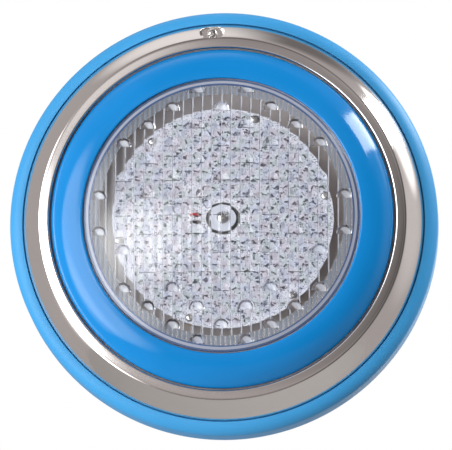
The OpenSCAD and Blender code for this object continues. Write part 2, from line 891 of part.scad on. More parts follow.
wall_base();
pilot_insert();
rear_shell();
trim_ring();
ring_tabs();
tab_screws();
hook_plate();
hook_screws();
bezel_ring();
bezel_screws();
lens();
lens_gasket();
heat_spreader();
led_board();
red_leds();
green_leds();
blue_leds();
board_resistors();
board_spacers();
board_screws();
centre_grommet();
centre_bush();
centre_screw();
driver_board();
driver_standoffs();
driver_screws();
rectifier();
capacitors();
inductor();
controller_chip();
power_transistors();
terminal_block();
red_lead();
black_lead();
gland_body();
gland_sealing_washer();
gland_locknut();
gland_seal();
gland_nut();
pilot_washer();
pilot_screw();
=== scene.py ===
"""Looks of a round underwater pool light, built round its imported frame.

Sizes are in millimetres and turn into metres where a mesh is made. A point is (x, up, depth),
where depth is measured out of the wall that the light hangs on.
"""

import json
import logging
import math
import random
from collections.abc import Sequence
from dataclasses import dataclass
from enum import Enum, IntEnum

import bmesh
import bpy
import numpy as np
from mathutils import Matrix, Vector


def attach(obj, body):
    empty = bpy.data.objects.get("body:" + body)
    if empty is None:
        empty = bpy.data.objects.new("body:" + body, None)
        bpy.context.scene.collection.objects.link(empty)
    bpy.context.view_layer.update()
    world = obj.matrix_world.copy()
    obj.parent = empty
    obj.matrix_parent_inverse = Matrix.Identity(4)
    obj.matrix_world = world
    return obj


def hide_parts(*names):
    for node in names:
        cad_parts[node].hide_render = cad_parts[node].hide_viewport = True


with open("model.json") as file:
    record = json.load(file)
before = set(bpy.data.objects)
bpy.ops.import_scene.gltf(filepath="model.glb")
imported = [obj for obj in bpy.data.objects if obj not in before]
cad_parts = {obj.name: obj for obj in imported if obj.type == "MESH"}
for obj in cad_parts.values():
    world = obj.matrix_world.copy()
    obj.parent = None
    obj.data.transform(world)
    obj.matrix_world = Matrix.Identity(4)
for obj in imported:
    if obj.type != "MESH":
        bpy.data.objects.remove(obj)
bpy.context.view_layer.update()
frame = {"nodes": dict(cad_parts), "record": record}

LOG = logging.getLogger("pool_light")
MM = 0.001
PILOT_SPOT = (-7.2, 128.499)

Profile = list[tuple[float, float]]
Points = np.ndarray
Faces = list[tuple[int, ...]]


class Body(Enum):
    """The bodies that pieces ride on."""

    BASE = "wall_base"
    LAMP = "lamp_unit"
    WASHER = "pilot_washer"
    SCREW = "pilot_screw"


# --------------------------------------------------------------------------- shapes


def at(x: float, up: float, depth: float) -> Vector:
    """Turns a point in millimetres into metres in the row frame.

    Args:
        x: Millimetres to the right of the middle.
        up: Millimetres above the middle.
        depth: Millimetres out of the wall.

    Returns:
        The same point in metres.
    """
    return Vector((x, -depth, up)) * MM


def bow(start: Sequence[float], end: Sequence[float], sag: float, steps: int) -> Profile:
    """A parabola that stands off a straight line, on its left as seen along it.

    Args:
        start: First point, as radius and depth.
        end: Last point.
        sag: How far the middle stands off.
        steps: Number of straight bits.

    Returns:
        The points from start to end.
    """
    p, q = np.array(start, float), np.array(end, float)
    run = q - p
    side = np.array((-run[1], run[0])) / np.linalg.norm(run)
    found = [p + run * t + side * 4 * sag * t * (1 - t) for t in np.linspace(0, 1, steps + 1)]
    return [(float(r), float(d)) for r, d in found]


def offset_line(line: Profile, distance: float) -> Profile:
    """Moves an open line sideways, to the left as seen along it.

    Args:
        line: The points of the line.
        distance: How far it moves.

    Returns:
        As many points as the line has.
    """
    points = np.array(line, float)
    ahead = np.gradient(points, axis=0)
    ahead /= np.linalg.norm(ahead, axis=1)[:, None]
    side = np.stack((-ahead[:, 1], ahead[:, 0]), axis=1)
    return [(float(r), float(d)) for r, d in points + side * distance]


def rounded(corners: Sequence[tuple[float, ...]], steps: int = 4, closed: bool = True) -> Profile:
    """Rounds the corners of a profile.

    Args:
        corners: Radius and depth of each corner, and how far its rounding reaches, if it has any.
        steps: Straight bits in each rounding.
        closed: Whether the profile's end joins its start.

    Returns:
        The rounded profile.
    """
    found: Profile = []
    count = len(corners)
    for i, corner in enumerate(corners):
        here = np.array(corner[:2], float)
        reach = corner[2] if len(corner) > 2 else 0.0
        at_end = not closed and i in (0, count - 1)
        if reach <= 0 or at_end:
            found.append((float(here[0]), float(here[1])))
            continue
        back = np.array(corners[i - 1][:2], float) - here
        ahead = np.array(corners[(i + 1) % count][:2], float) - here
        p = here + back * min(reach / np.linalg.norm(back), 0.48)
        q = here + ahead * min(reach / np.linalg.norm(ahead), 0.48)
        for t in np.linspace(0, 1, steps + 1):
            point = p * (1 - t) ** 2 + here * 2 * t * (1 - t) + q * t * t
            found.append((float(point[0]), float(point[1])))
    return found


def smooth_step(low: float, high: float, value: Points) -> Points:
    """Rises smoothly from 0 at low to 1 at high.

    Args:
        low: Where the rise starts, which may be above high.
        high: Where it ends.
        value: What is measured.

    Returns:
        The height of the rise at each value.
    """
    t = np.clip((value - low) / (high - low), 0, 1)
    return t * t * (3 - 2 * t)


def new_piece(name: str, points: Points, faces: Faces, sharp: float = 38.0) -> bpy.types.Object:
    """Makes a piece from points in millimetres, with clean normals and smooth shading.

    Args:
        name: The piece's name.
        points: One row of x, up and depth for each point.
        faces: Point numbers of each face.
        sharp: Edges bent by more than this many degrees stay sharp.

    Returns:
        The new object, linked to the scene.
    """
    place = np.stack((points[:, 0], -points[:, 2], points[:, 1]), axis=1) * MM
    mesh = bpy.data.meshes.new(name)
    mesh.from_pydata(place.tolist(), [], faces)
    piece = bpy.data.objects.new(name, mesh)
    bpy.context.scene.collection.objects.link(piece)
    tidy_mesh(piece, sharp)
    return piece


def tidy_mesh(piece: bpy.types.Object, sharp: float = 38.0) -> None:
    """Joins points that lie together, turns normals outwards and shades smoothly.

    Args:
        piece: The object whose mesh is tidied.
        sharp: Edges bent by more than this many degrees stay sharp.
    """
    work = bmesh.new()
    work.from_mesh(piece.data)
    bmesh.ops.remove_doubles(work, verts=work.verts, dist=2e-7)
    bmesh.ops.dissolve_degenerate(work, edges=work.edges, dist=1e-8)
    bmesh.ops.recalc_face_normals(work, faces=work.faces)
    work.to_mesh(piece.data)
    work.free()
    piece.data.shade_smooth()
    piece.data.set_sharp_from_angle(angle=math.radians(sharp))


def lathe_mesh(profile: Profile, angles: Points, closed: bool = True) -> tuple[Points, Faces]:
    """Points and faces of a profile turned about the middle of the light.

    Args:
        profile: Radius and depth of each point.
        angles: Angles of the columns, in radians, for one whole turn.
        closed: Whether the profile's end joins its start.

    Returns:
        The points, column by column, and the faces.
    """
    line = np.array(profile, float)
    rows, columns = len(line), len(angles)
    radius, depth = np.tile(line[:, 0], columns), np.tile(line[:, 1], columns)
    turn = np.repeat(angles, rows)
    points = np.stack((radius * np.cos(turn), radius * np.sin(turn), depth), axis=1)
    faces: Faces = []
    last = rows if closed else rows - 1
    for c in range(columns):
        here, there = c * rows, (c + 1) % columns * rows
        for r in range(last):
            after = (r + 1) % rows
            faces.append((here + r, there + r, there + after, here + after))
    return points, faces


def even_angles(steps: int) -> Points:
    """Evenly spaced angles for one whole turn, in radians."""
    return np.arange(steps) * (2 * math.pi / steps)


def turned(name: str, profile: Profile, steps: int = 240, centre: tuple[float, float] = (0, 0),
           sharp: float = 38.0) -> bpy.types.Object:
    """A closed profile turned into a piece.

    Args:
        name: The piece's name.
        profile: Radius and depth of each point, in order round the profile.
        steps: Columns in a whole turn.
        centre: Where its axis stands, as x and up.
        sharp: Edges bent by more than this many degrees stay sharp.

    Returns:
        The new piece.
    """
    points, faces = lathe_mesh(profile, even_angles(steps))
    points[:, 0] += centre[0]
    points[:, 1] += centre[1]
    return new_piece(name, points, faces, sharp)


def drum(name: str, centre: tuple[float, float], radius: float, low: float, high: float,
         steps: int = 48) -> bpy.types.Object:
    """A plain round bar, for cutting and joining.

    Args:
        name: Its name.
        centre: Where its axis stands, as x and up.
        radius: Its radius.
        low: Depth of its near end.
        high: Depth of its far end.
        steps: Flat sides round it.

    Returns:
        The new object.
    """
    profile = [(0.0, low), (radius, low), (radius, high), (0.0, high)]
    return turned(name, profile, steps, centre)


def block(name: str, low: Sequence[float], high: Sequence[float]) -> bpy.types.Object:
    """A plain block, for cutting and joining.

    Args:
        name: Its name.
        low: Its lowest x, up and depth.
        high: Its highest x, up and depth.

    Returns:
        The new object.
    """
    corners = [(x, u, d) for x in (low[0], high[0]) for u in (low[1], high[1])
               for d in (low[2], high[2])]
    faces = [(0, 1, 3, 2), (4, 6, 7, 5), (0, 4, 5, 1), (2, 3, 7, 6), (0, 2, 6, 4), (1, 5, 7, 3)]
    return new_piece(name, np.array(corners, float), faces)


class Carve(Enum):
    """How one solid changes another."""

    CUT = "DIFFERENCE"
    JOIN = "UNION"


def carve(piece: bpy.types.Object, tools: Sequence[bpy.types.Object], how: Carve,
          sharp: float = 38.0) -> None:
    """Cuts solids out of a piece, or joins them to it, and throws the solids away.

    Args:
        piece: The piece that changes.
        tools: The solids, which are removed afterwards.
        how: What is done with them.
        sharp: Edges bent by more than this many degrees stay sharp.
    """
    for tool in tools:
        step = piece.modifiers.new("carve", "BOOLEAN")
        step.operation, step.solver, step.object = how.value, "EXACT", tool
    bpy.context.view_layer.update()
    solid = piece.evaluated_get(bpy.context.evaluated_depsgraph_get())
    made = bpy.data.meshes.new_from_object(solid)
    piece.modifiers.clear()
    piece.data = made
    for tool in tools:
        bpy.data.objects.remove(tool)
    tidy_mesh(piece, sharp)


def merged(name: str, parts: Sequence[bpy.types.Object]) -> bpy.types.Object:
    """Puts several objects' meshes into one piece.

    Args:
        name: The new piece's name.
        parts: The objects, which are removed afterwards.

    Returns:
        The new piece.
    """
    work = bmesh.new()
    for part in parts:
        work.from_mesh(part.data)
    mesh = bpy.data.meshes.new(name)
    work.to_mesh(mesh)
    work.free()
    for part in parts:
        bpy.data.objects.remove(part)
    piece = bpy.data.objects.new(name, mesh)
    bpy.context.scene.collection.objects.link(piece)
    return piece


def tube(name: str, route: Sequence[Sequence[float]], radius: float,
         sides: int = 20) -> bpy.types.Object:
    """A round tube along a smooth route, closed at both ends.

    Args:
        name: Its name.
        route: Points of its centreline, as x, up and depth.
        radius: Its radius.
        sides: Flat sides round it.

    Returns:
        The new object.
    """
    line = np.array(route, float)
    ahead = np.gradient(line, axis=0)
    ahead /= np.linalg.norm(ahead, axis=1)[:, None]
    across = np.cross(ahead, np.array((0.13, 0.97, 0.2)))
    across /= np.linalg.norm(across, axis=1)[:, None]
    other = np.cross(ahead, across)
    turn = even_angles(sides)
    rings = (line[:, None] + radius * (across[:, None] * np.cos(turn)[None, :, None]
                                       + other[:, None] * np.sin(turn)[None, :, None]))
    count = len(line)
    faces: Faces = [(i * sides + k, i * sides + (k + 1) % sides,
                     (i + 1) * sides + (k + 1) % sides, (i + 1) * sides + k)
                    for i in range(count - 1) for k in range(sides)]
    faces.append(tuple(range(sides)))
    faces.append(tuple((count - 1) * sides + k for k in range(sides)))
    return new_piece(name, rings.reshape(-1, 3), faces)


def softened(route: Sequence[Sequence[float]], steps: int = 6) -> Points:
    """A smooth line along a route of corners, which leaves and reaches its ends straight.

    Args:
        route: The corners, with the two ends.
        steps: Points for each corner.

    Returns:
        The points of the line.
    """
    corners = np.array(route, float)
    line = [corners[0]]
    for k in range(1, len(corners) - 1):
        p, c, q = (corners[k - 1] + corners[k]) / 2, corners[k], (corners[k] + corners[k + 1]) / 2
        line += [p * (1 - t) ** 2 + c * 2 * t * (1 - t) + q * t * t
                 for t in np.arange(steps) / steps]
    line += [(corners[-2] + corners[-1]) / 2, corners[-1]]
    return np.array(line)


# --------------------------------------------------------------------------- shader groups

Value = float | tuple[float, ...] | bpy.types.NodeSocket


class Tree:
    """Short ways to add and join the nodes of one node tree."""

    def __init__(self, tree: bpy.types.NodeTree) -> None:
        """Keeps the tree that nodes are added to."""
        self.tree = tree

    def add(self, kind: str, inputs: dict[str | int, Value] | None = None,
            **settings: object) -> bpy.types.Node:
        """Adds a node.

        Args:
            kind: The node's type.
            inputs: A value or another node's output for each of its inputs.
            settings: The node's own properties.

        Returns:
            The new node.
        """
        node = self.tree.nodes.new(kind)
        for key, value in settings.items():
            setattr(node, key, value)
        for key, value in (inputs or {}).items():
            socket = node.inputs[key]
            if isinstance(value, bpy.types.NodeSocket):
                self.tree.links.new(value, socket)
            else:
                socket.default_value = value
        return node

    def math(self, operation: str, *values: Value) -> bpy.types.NodeSocket:
        """Adds a sum or another bit of arithmetic, and returns its result."""
        node = self.add("ShaderNodeMath", dict(enumerate(values)), operation=operation)
        return node.outputs[0]

    def noise(self, where: Value, scale: Value, detail: float = 3.0,
              roughness: float = 0.5) -> bpy.types.NodeSocket:
        """Adds fractal noise and returns its value."""
        inputs = {"Vector": where, "Scale": scale, "Detail": detail, "Roughness": roughness}
        return self.add("ShaderNodeTexNoise", inputs).outputs["Fac"]

    def spread(self, value: Value, low: float, high: float, to_low: Value = 0.0,
               to_high: Value = 1.0) -> bpy.types.NodeSocket:
        """Maps one range of a value onto another, smoothly.

        Args:
            value: The value.
            low: Where the first range starts.
            high: Where it ends.
            to_low: What its start becomes.
            to_high: What its end becomes.

        Returns:
            The mapped value.
        """
        inputs = {"Value": value, "From Min": low, "From Max": high, "To Min": to_low,
                  "To Max": to_high}
        node = self.add("ShaderNodeMapRange", inputs, interpolation_type="SMOOTHSTEP")
        return node.outputs["Result"]

    def blend(self, share: Value, first: Value, second: Value) -> bpy.types.NodeSocket:
        """Mixes two colours and returns the mixed colour."""
        node = self.add("ShaderNodeMix", {0: share, 6: first, 7: second}, data_type="RGBA")
        return node.outputs[2]

    def place(self) -> bpy.types.NodeSocket:
        """The point on the object, in metres in the row frame at rest."""
        return self.add("ShaderNodeTexCoord").outputs["Object"]


class Effect(Enum):
    """The effects that more than one material uses."""

    GRAIN = "moulded_grain"
    TURNED = "turned_lines"
    HANDLING = "handling_marks"
    WORN = "worn_edges"


class EffectLibrary:
    """Builds each effect's node group once."""

    def __init__(self) -> None:
        """Starts with no group built."""
        self.built: dict[Effect, bpy.types.NodeTree] = {}

    def group(self, effect: Effect) -> bpy.types.NodeTree:
        """The effect's node group, built when it is first asked for.

        Args:
            effect: Which effect.

        Returns:
            Its node group.
        """
        if effect not in self.built:
            makers = {Effect.GRAIN: self.grain, Effect.TURNED: self.turned_lines,
                      Effect.HANDLING: self.handling, Effect.WORN: self.worn}
            self.built[effect] = makers[effect]()
        return self.built[effect]

    def placed(self, tree: Tree, effect: Effect, **values: float) -> bpy.types.Node:
        """Puts an effect into a material.

        Args:
            tree: The material's nodes.
            effect: Which effect.
            values: The group's inputs, by name.

        Returns:
            The group's node.
        """
        node = tree.add("ShaderNodeGroup", node_tree=self.group(effect))
        for key, value in values.items():
            node.inputs[key.replace("_", " ").title()].default_value = value
        return node

    @staticmethod
    def started(effect: Effect, inputs: dict[str, float],
                outputs: Sequence[str]) -> tuple[Tree, bpy.types.Node, bpy.types.Node]:
        """Starts a node group.

        Args:
            effect: Which effect it is.
            inputs: Its number inputs, with their usual values.
            outputs: Its number outputs.

        Returns:
            Its tree, its input node and its output node.
        """
        group = bpy.data.node_groups.new(effect.value, "ShaderNodeTree")
        for name, usual in inputs.items():
            socket = group.interface.new_socket(name, in_out="INPUT", socket_type="NodeSocketFloat")
            socket.default_value = usual
        for name in outputs:
            group.interface.new_socket(name, in_out="OUTPUT", socket_type="NodeSocketFloat")
        tree = Tree(group)
        return tree, tree.add("NodeGroupInput"), tree.add("NodeGroupOutput")

    def grain(self) -> bpy.types.NodeTree:
        """Fine spark-eroded grain and slow sink marks of moulded plastic.

        Returns:
            The node group.
        """
        tree, given, out = self.started(
            Effect.GRAIN, {"Scale": 1400.0, "Sink Scale": 18.0, "Sink Share": 0.4},
            ("Height", "Shade"))
        where = tree.place()
        fine = tree.noise(where, given.outputs["Scale"], 2.0)
        sink = tree.noise(where, given.outputs["Sink Scale"], 1.0)
        slow = tree.math("MULTIPLY", sink, given.outputs["Sink Share"])
        height = tree.math("ADD", tree.math("MULTIPLY", fine, 0.6), slow)
        tree.tree.links.new(height, out.inputs["Height"])
        tree.tree.links.new(tree.spread(sink, 0.35, 0.65), out.inputs["Shade"])
        return tree.tree

    def turned_lines(self) -> bpy.types.NodeTree:
        """Fine lines that run round the middle of the light, as spinning and buffing leave.

        Returns:
            The node group.
        """
        tree, given, out = self.started(
            Effect.TURNED, {"Lines": 2600.0, "Broad": 260.0}, ("Height", "Shade"))
        parts = tree.add("ShaderNodeSeparateXYZ", {0: tree.place()}).outputs
        flat = tree.add("ShaderNodeCombineXYZ", {"X": parts["X"], "Y": parts["Z"]}).outputs[0]
        radius = tree.add("ShaderNodeVectorMath", {0: flat}, operation="LENGTH").outputs["Value"]
        turn = tree.math("ARCTAN2", parts["Z"], parts["X"])
        slant = tree.math("SUBTRACT", radius, parts["Y"])
        along = tree.math("MULTIPLY", turn, 0.004)
        line = tree.add("ShaderNodeCombineXYZ", {"X": slant, "Y": along}).outputs[0]
        fine = tree.noise(line, given.outputs["Lines"], 2.0, 0.6)
        broad = tree.noise(line, given.outputs["Broad"], 2.0, 0.6)
        height = tree.math("ADD", fine, tree.math("MULTIPLY", broad, 0.5))
        tree.tree.links.new(height, out.inputs["Height"])
        tree.tree.links.new(tree.spread(broad, 0.3, 0.7), out.inputs["Shade"])
        return tree.tree

    def handling(self) -> bpy.types.NodeTree:
        """Faint smears and water marks, as a mask for roughness and colour.

        Returns:
            The node group.
        """
        tree, given, out = self.started(
            Effect.HANDLING, {"Scale": 60.0, "Amount": 0.5}, ("Mask",))
        where = tree.place()
        slow = tree.noise(where, given.outputs["Scale"], 5.0, 0.62)
        quick = tree.noise(where, tree.math("MULTIPLY", given.outputs["Scale"], 9.0), 3.0, 0.6)
        both = tree.math("ADD", tree.math("MULTIPLY", slow, 0.7), tree.math("MULTIPLY", quick, 0.3))
        mask = tree.math("MULTIPLY", tree.spread(both, 0.42, 0.66), given.outputs["Amount"])
        tree.tree.links.new(mask, out.inputs["Mask"])
        return tree.tree

    def worn(self) -> bpy.types.NodeTree:
        """Outer edges where handling has rubbed a part bright, broken up by noise.

        Returns:
            The node group.
        """
        tree, given, out = self.started(
            Effect.WORN, {"Scale": 400.0, "Amount": 0.6}, ("Mask",))
        bend = tree.add("ShaderNodeNewGeometry").outputs["Pointiness"]
        edge = tree.spread(bend, 0.505, 0.56)
        broken = tree.spread(tree.noise(tree.place(), given.outputs["Scale"], 3.0), 0.38, 0.6)
        mask = tree.math("MULTIPLY", tree.math("MULTIPLY", edge, broken), given.outputs["Amount"])
        tree.tree.links.new(mask, out.inputs["Mask"])
        return tree.tree


EFFECTS = EffectLibrary()

# --------------------------------------------------------------------------- finishes

Colour = tuple[float, float, float]


def rgba(colour: Colour, alpha: float = 1.0) -> tuple[float, float, float, float]:
    """A colour with its alpha."""
    return (*colour, alpha)


def blank(name: str) -> tuple[bpy.types.Material, Tree, bpy.types.Node]:
    """Starts a material.

    Args:
        name: The material's name.

    Returns:
        The material, its tree and its output node.
    """
    material = bpy.data.materials.new(name)
    material.use_nodes = True
    material.node_tree.nodes.clear()
    tree = Tree(material.node_tree)
    return material, tree, tree.add("ShaderNodeOutputMaterial")


def joined(tree: Tree, shader: bpy.types.Node, out: bpy.types.Node) -> None:
    """Joins a shader to the material's surface."""
    tree.tree.links.new(shader.outputs[0], out.inputs["Surface"])


@dataclass(frozen=True)
class Plastic:
    """Moulded plastic or rubber, with grain, sink marks and slightly uneven gloss."""

    name: str
    colour: Colour
    shade: Colour
    gloss: tuple[float, float] = (0.25, 0.34)
    grain: float = 1400.0
    relief: float = 0.02
    marks: float = 0.5
    shine: float = 0.5
    ior: float = 1.48

    def material(self) -> bpy.types.Material:
        """Builds the plastic's material.

        Returns:
            The material.
        """
        material, tree, out = blank(self.name)
        grain = EFFECTS.placed(tree, Effect.GRAIN, scale=self.grain)
        marks = EFFECTS.placed(tree, Effect.HANDLING, amount=self.marks)
        colour = tree.blend(grain.outputs["Shade"], rgba(self.colour), rgba(self.shade))
        rough = tree.spread(marks.outputs["Mask"], 0.0, 1.0, *self.gloss)
        bump = tree.add("ShaderNodeBump", {"Height": grain.outputs["Height"],
                                           "Strength": 1.0, "Distance": self.relief * MM})
        shader = tree.add("ShaderNodeBsdfPrincipled", {
            "Base Color": colour, "Roughness": rough, "Normal": bump.outputs[0],
            "IOR": self.ior, "Specular IOR Level": self.shine})
        joined(tree, shader, out)
        return material


@dataclass(frozen=True)
class Metal:
    """Bare metal with turned lines, worn edges and smears."""

    name: str
    colour: Colour
    shade: Colour
    gloss: tuple[float, float] = (0.2, 0.32)
    lines: float = 2600.0
    relief: float = 0.004
    worn: float = 0.3
    smears: float = 0.4

    def material(self) -> bpy.types.Material:
        """Builds the metal's material.

        Returns:
            The material.
        """
        material, tree, out = blank(self.name)
        lines = EFFECTS.placed(tree, Effect.TURNED, lines=self.lines)
        smears = EFFECTS.placed(tree, Effect.HANDLING, scale=45.0, amount=self.smears)
        worn = EFFECTS.placed(tree, Effect.WORN, amount=self.worn)
        tone = tree.math("MULTIPLY", lines.outputs["Shade"], 0.35)
        tone = tree.math("ADD", tone, tree.math("MULTIPLY", smears.outputs["Mask"], 0.65))
        colour = tree.blend(tone, rgba(self.colour), rgba(self.shade))
        bright = tuple(min(1.0, c * 1.15) for c in self.colour)
        colour = tree.blend(worn.outputs["Mask"], colour, rgba(bright))
        rough = tree.spread(smears.outputs["Mask"], 0.0, 1.0, *self.gloss)
        bump = tree.add("ShaderNodeBump", {"Height": lines.outputs["Height"],
                                           "Strength": 1.0, "Distance": self.relief * MM})
        shader = tree.add("ShaderNodeBsdfPrincipled", {
            "Base Color": colour, "Roughness": rough, "Normal": bump.outputs[0],
            "Metallic": 1.0})
        joined(tree, shader, out)
        return material


@dataclass(frozen=True)
class Clear:
    """Clear plastic or resin, which lets lamps and soft light reach what is behind it."""

    name: str
    colour: Colour
    passing: Colour
    gloss: tuple[float, float] = (0.01, 0.05)
    ior: float = 1.49
    clarity: float = 1.0

    def material(self) -> bpy.types.Material:
        """Builds the clear material.

        Returns:
            The material.
        """
        material, tree, out = blank(self.name)
        marks = EFFECTS.placed(tree, Effect.HANDLING, scale=35.0, amount=1.0)
        rough = tree.spread(marks.outputs["Mask"], 0.0, 1.0, *self.gloss)
        glass = tree.add("ShaderNodeBsdfPrincipled", {
            "Base Color": rgba(self.colour), "Roughness": rough, "IOR": self.ior,
            "Transmission Weight": self.clarity})
        through = tree.add("ShaderNodeBsdfTransparent", {"Color": rgba(self.passing)})
        path = tree.add("ShaderNodeLightPath")
        lamps = tree.add("ShaderNodeMixShader", {
            0: path.outputs["Is Shadow Ray"], 1: glass.outputs[0], 2: through.outputs[0]})
        soft = tree.add("ShaderNodeMixShader", {
            0: path.outputs["Is Diffuse Ray"], 1: lamps.outputs[0], 2: through.outputs[0]})
        joined(tree, soft, out)
        return material


@dataclass(frozen=True)
class CircuitBoard:
    """A painted circuit board, with tracks under the paint and small specks strewn at random over
    it.
    """

    name: str
    paint: Colour
    track: Colour
    pitch: float = 6.1
    gloss: tuple[float, float] = (0.3, 0.45)
    speck: Colour = (0.2, 0.2, 0.25)
    speck_pitch: float = 0.72

    def material(self) -> bpy.types.Material:
        """Builds the board's material.

        Returns:
            The material.
        """
        material, tree, out = blank(self.name)
        where = tree.place()
        cells = tree.add("ShaderNodeTexVoronoi", {
            "Vector": where, "Scale": 1.0 / (self.pitch * MM * 0.55), "Randomness": 0.6},
            feature="DISTANCE_TO_EDGE")
        tracks = tree.spread(cells.outputs["Distance"], 0.03, 0.09)
        marks = EFFECTS.placed(tree, Effect.HANDLING, scale=110.0, amount=0.6)
        colour = tree.blend(tracks, rgba(self.track), rgba(self.paint))
        dots = tree.add("ShaderNodeTexVoronoi", {
            "Vector": where, "Scale": 1.0 / (self.speck_pitch * MM), "Randomness": 0.8})
        chosen = tree.add("ShaderNodeSeparateColor", {0: dots.outputs["Color"]}).outputs[0]
        size = tree.spread(chosen, 0.1, 0.9, 0.05, 0.5)
        dot = tree.math("LESS_THAN", dots.outputs["Distance"], size)
        colour = tree.blend(dot, colour, rgba(self.speck))
        dull = tuple(c * 0.86 for c in self.paint)
        colour = tree.blend(marks.outputs["Mask"], colour, rgba(dull))
        rough = tree.spread(marks.outputs["Mask"], 0.0, 1.0, *self.gloss)
        bump = tree.add("ShaderNodeBump", {"Height": tracks, "Strength": 0.6,
                                           "Distance": 0.03 * MM})
        shader = tree.add("ShaderNodeBsdfPrincipled", {
            "Base Color": colour, "Roughness": rough, "Normal": bump.outputs[0]})
        joined(tree, shader, out)
        return material


RECIPES: tuple[Plastic | Metal | Clear | CircuitBoard, ...] = (
    Plastic("blue_base_plastic", (0.045, 0.30, 0.62), (0.04, 0.285, 0.595), (0.42, 0.52),
            grain=2600.0, relief=0.005, shine=0.3),
    Plastic("blue_bezel_plastic", (0.004, 0.205, 0.545), (0.003, 0.195, 0.52), (0.10, 0.16),
            grain=2600.0, relief=0.003, shine=0.38),
    Plastic("grey_shell_plastic", (0.54, 0.475, 0.44), (0.49, 0.43, 0.40), (0.35, 0.5)),
    Plastic("light_grey_plastic", (0.66, 0.67, 0.73), (0.60, 0.61, 0.67), (0.3, 0.4)),
    Plastic("black_rubber", (0.02, 0.02, 0.022), (0.03, 0.03, 0.032), (0.55, 0.75), grain=2200.0,
            relief=0.03),
    Plastic("chip_black", (0.018, 0.018, 0.02), (0.03, 0.03, 0.032), (0.4, 0.55), grain=4000.0),
    Plastic("capacitor_sleeve", (0.015, 0.02, 0.06), (0.02, 0.03, 0.08), (0.18, 0.3)),
    Plastic("terminal_green", (0.02, 0.26, 0.08), (0.02, 0.22, 0.07), (0.35, 0.5)),
    Plastic("lead_red", (0.62, 0.012, 0.02), (0.5, 0.01, 0.015), (0.3, 0.45)),
    Plastic("lead_black", (0.015, 0.015, 0.017), (0.025, 0.025, 0.027), (0.35, 0.5)),
    Plastic("white_nylon", (0.80, 0.80, 0.76), (0.74, 0.74, 0.70), (0.35, 0.5)),
    Plastic("ferrite", (0.03, 0.022, 0.018), (0.05, 0.04, 0.03), (0.6, 0.8), grain=3000.0,
            relief=0.06),
    Metal("polished_steel", (0.80, 0.765, 0.745), (0.74, 0.70, 0.68), (0.10, 0.16), relief=0.0008,
          worn=0.1),
    Metal("plain_steel", (0.62, 0.62, 0.62), (0.5, 0.5, 0.51), (0.3, 0.45)),
    Metal("screw_steel", (0.68, 0.67, 0.66), (0.52, 0.51, 0.5), (0.18, 0.3)),
    Metal("brass", (0.74, 0.54, 0.22), (0.6, 0.42, 0.16), (0.22, 0.36)),
    Metal("nickel_brass", (0.66, 0.63, 0.56), (0.55, 0.51, 0.44), (0.16, 0.3)),
    # Dark lead frames, so that each LED shows a dark dot.
    Metal("tarnished_frame", (0.20, 0.20, 0.22), (0.12, 0.12, 0.14), (0.3, 0.5)),
    Metal("aluminium_plate", (0.76, 0.77, 0.78), (0.66, 0.67, 0.68), (0.3, 0.42)),
    Clear("clear_lens", (0.97, 0.985, 1.0), (0.93, 0.945, 0.965)),
    # The lens finishes below are painted shade and painted highlights for the flutes, beads, ribs
    # and rim edges, and a half-clear lavender tone for the rim band.
    Clear("lens_flute_shade", (0.30, 0.31, 0.38), (0.8, 0.8, 0.83), (0.05, 0.1)),
    Clear("lens_flute_light", (0.80, 0.83, 0.90), (0.9, 0.92, 0.95), (0.12, 0.2), clarity=0.5),
    Clear("lens_rim", (0.56, 0.60, 0.70), (0.8, 0.82, 0.9), (0.1, 0.2), clarity=0.5),
    Clear("lens_rim_shade", (0.10, 0.17, 0.34), (0.6, 0.65, 0.8), (0.1, 0.2), clarity=0.5),
    Clear("lens_rib", (0.40, 0.47, 0.56), (0.85, 0.88, 0.92), (0.1, 0.2), clarity=0.5),
    Clear("lens_rib_gap", (0.46, 0.48, 0.52), (0.85, 0.88, 0.92), (0.1, 0.2), clarity=0.75),
    Clear("lens_foot", (0.02, 0.02, 0.03), (0.5, 0.5, 0.5), (0.1, 0.2), clarity=0.2),
    Clear("led_resin_red", (0.99, 0.955, 0.96), (0.96, 0.94, 0.95), (0.02, 0.06), 1.24),
    Clear("led_resin_green", (0.955, 0.99, 0.975), (0.94, 0.96, 0.95), (0.02, 0.06), 1.24),
    Clear("led_resin_blue", (0.95, 0.96, 1.0), (0.93, 0.94, 0.97), (0.02, 0.06), 1.24),
    CircuitBoard("white_board", (0.84, 0.83, 0.87), (0.64, 0.64, 0.69),
                 speck=(0.04, 0.045, 0.07)),
    CircuitBoard("green_board", (0.012, 0.13, 0.045), (0.03, 0.24, 0.08), 4.0,
                 speck=(0.35, 0.36, 0.36)),
)


class Finishes:
    """Every finish of the light, by its material slot, built when it is first used."""

    def __init__(self) -> None:
        """Lists the finishes without building them."""
        self.recipes = {recipe.name: recipe for recipe in RECIPES}
        self.built: dict[str, bpy.types.Material] = {}

    def get(self, slot: str) -> bpy.types.Material:
        """The material for a slot, built when it is first asked for.

        Args:
            slot: The slot, or a finish of its own.

        Returns:
            The material.
        """
        if slot not in self.built:
            self.built[slot] = self.recipes[slot].material()
        return self.built[slot]

    def dress(self, piece: bpy.types.Object, slot: str) -> None:
        """Gives a piece one finish all over."""
        piece.data.materials.clear()
        piece.data.materials.append(self.get(slot))


FINISHES = Finishes()


def settle(piece: bpy.types.Object, body: Body, slot: str, *nodes: str,
           finish: str = "") -> bpy.types.Object:
    """Finishes a new piece: its looks, the body it rides on and the CAD nodes it stands for.

    Args:
        piece: The new piece.
        body: The body that it rides on.
        slot: The material slot that it takes its finish from.
        nodes: CAD nodes that it replaces.
        finish: The finish, where it isn't the slot's own.

    Returns:
        The same piece.
    """
    FINISHES.dress(piece, finish or slot)
    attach(piece, body.value)
    if nodes:
        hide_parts(*nodes)
    LOG.info("%s: %d points, on %s", piece.name, len(piece.data.vertices), body.value)
    return piece


# --------------------------------------------------------------------------- fasteners


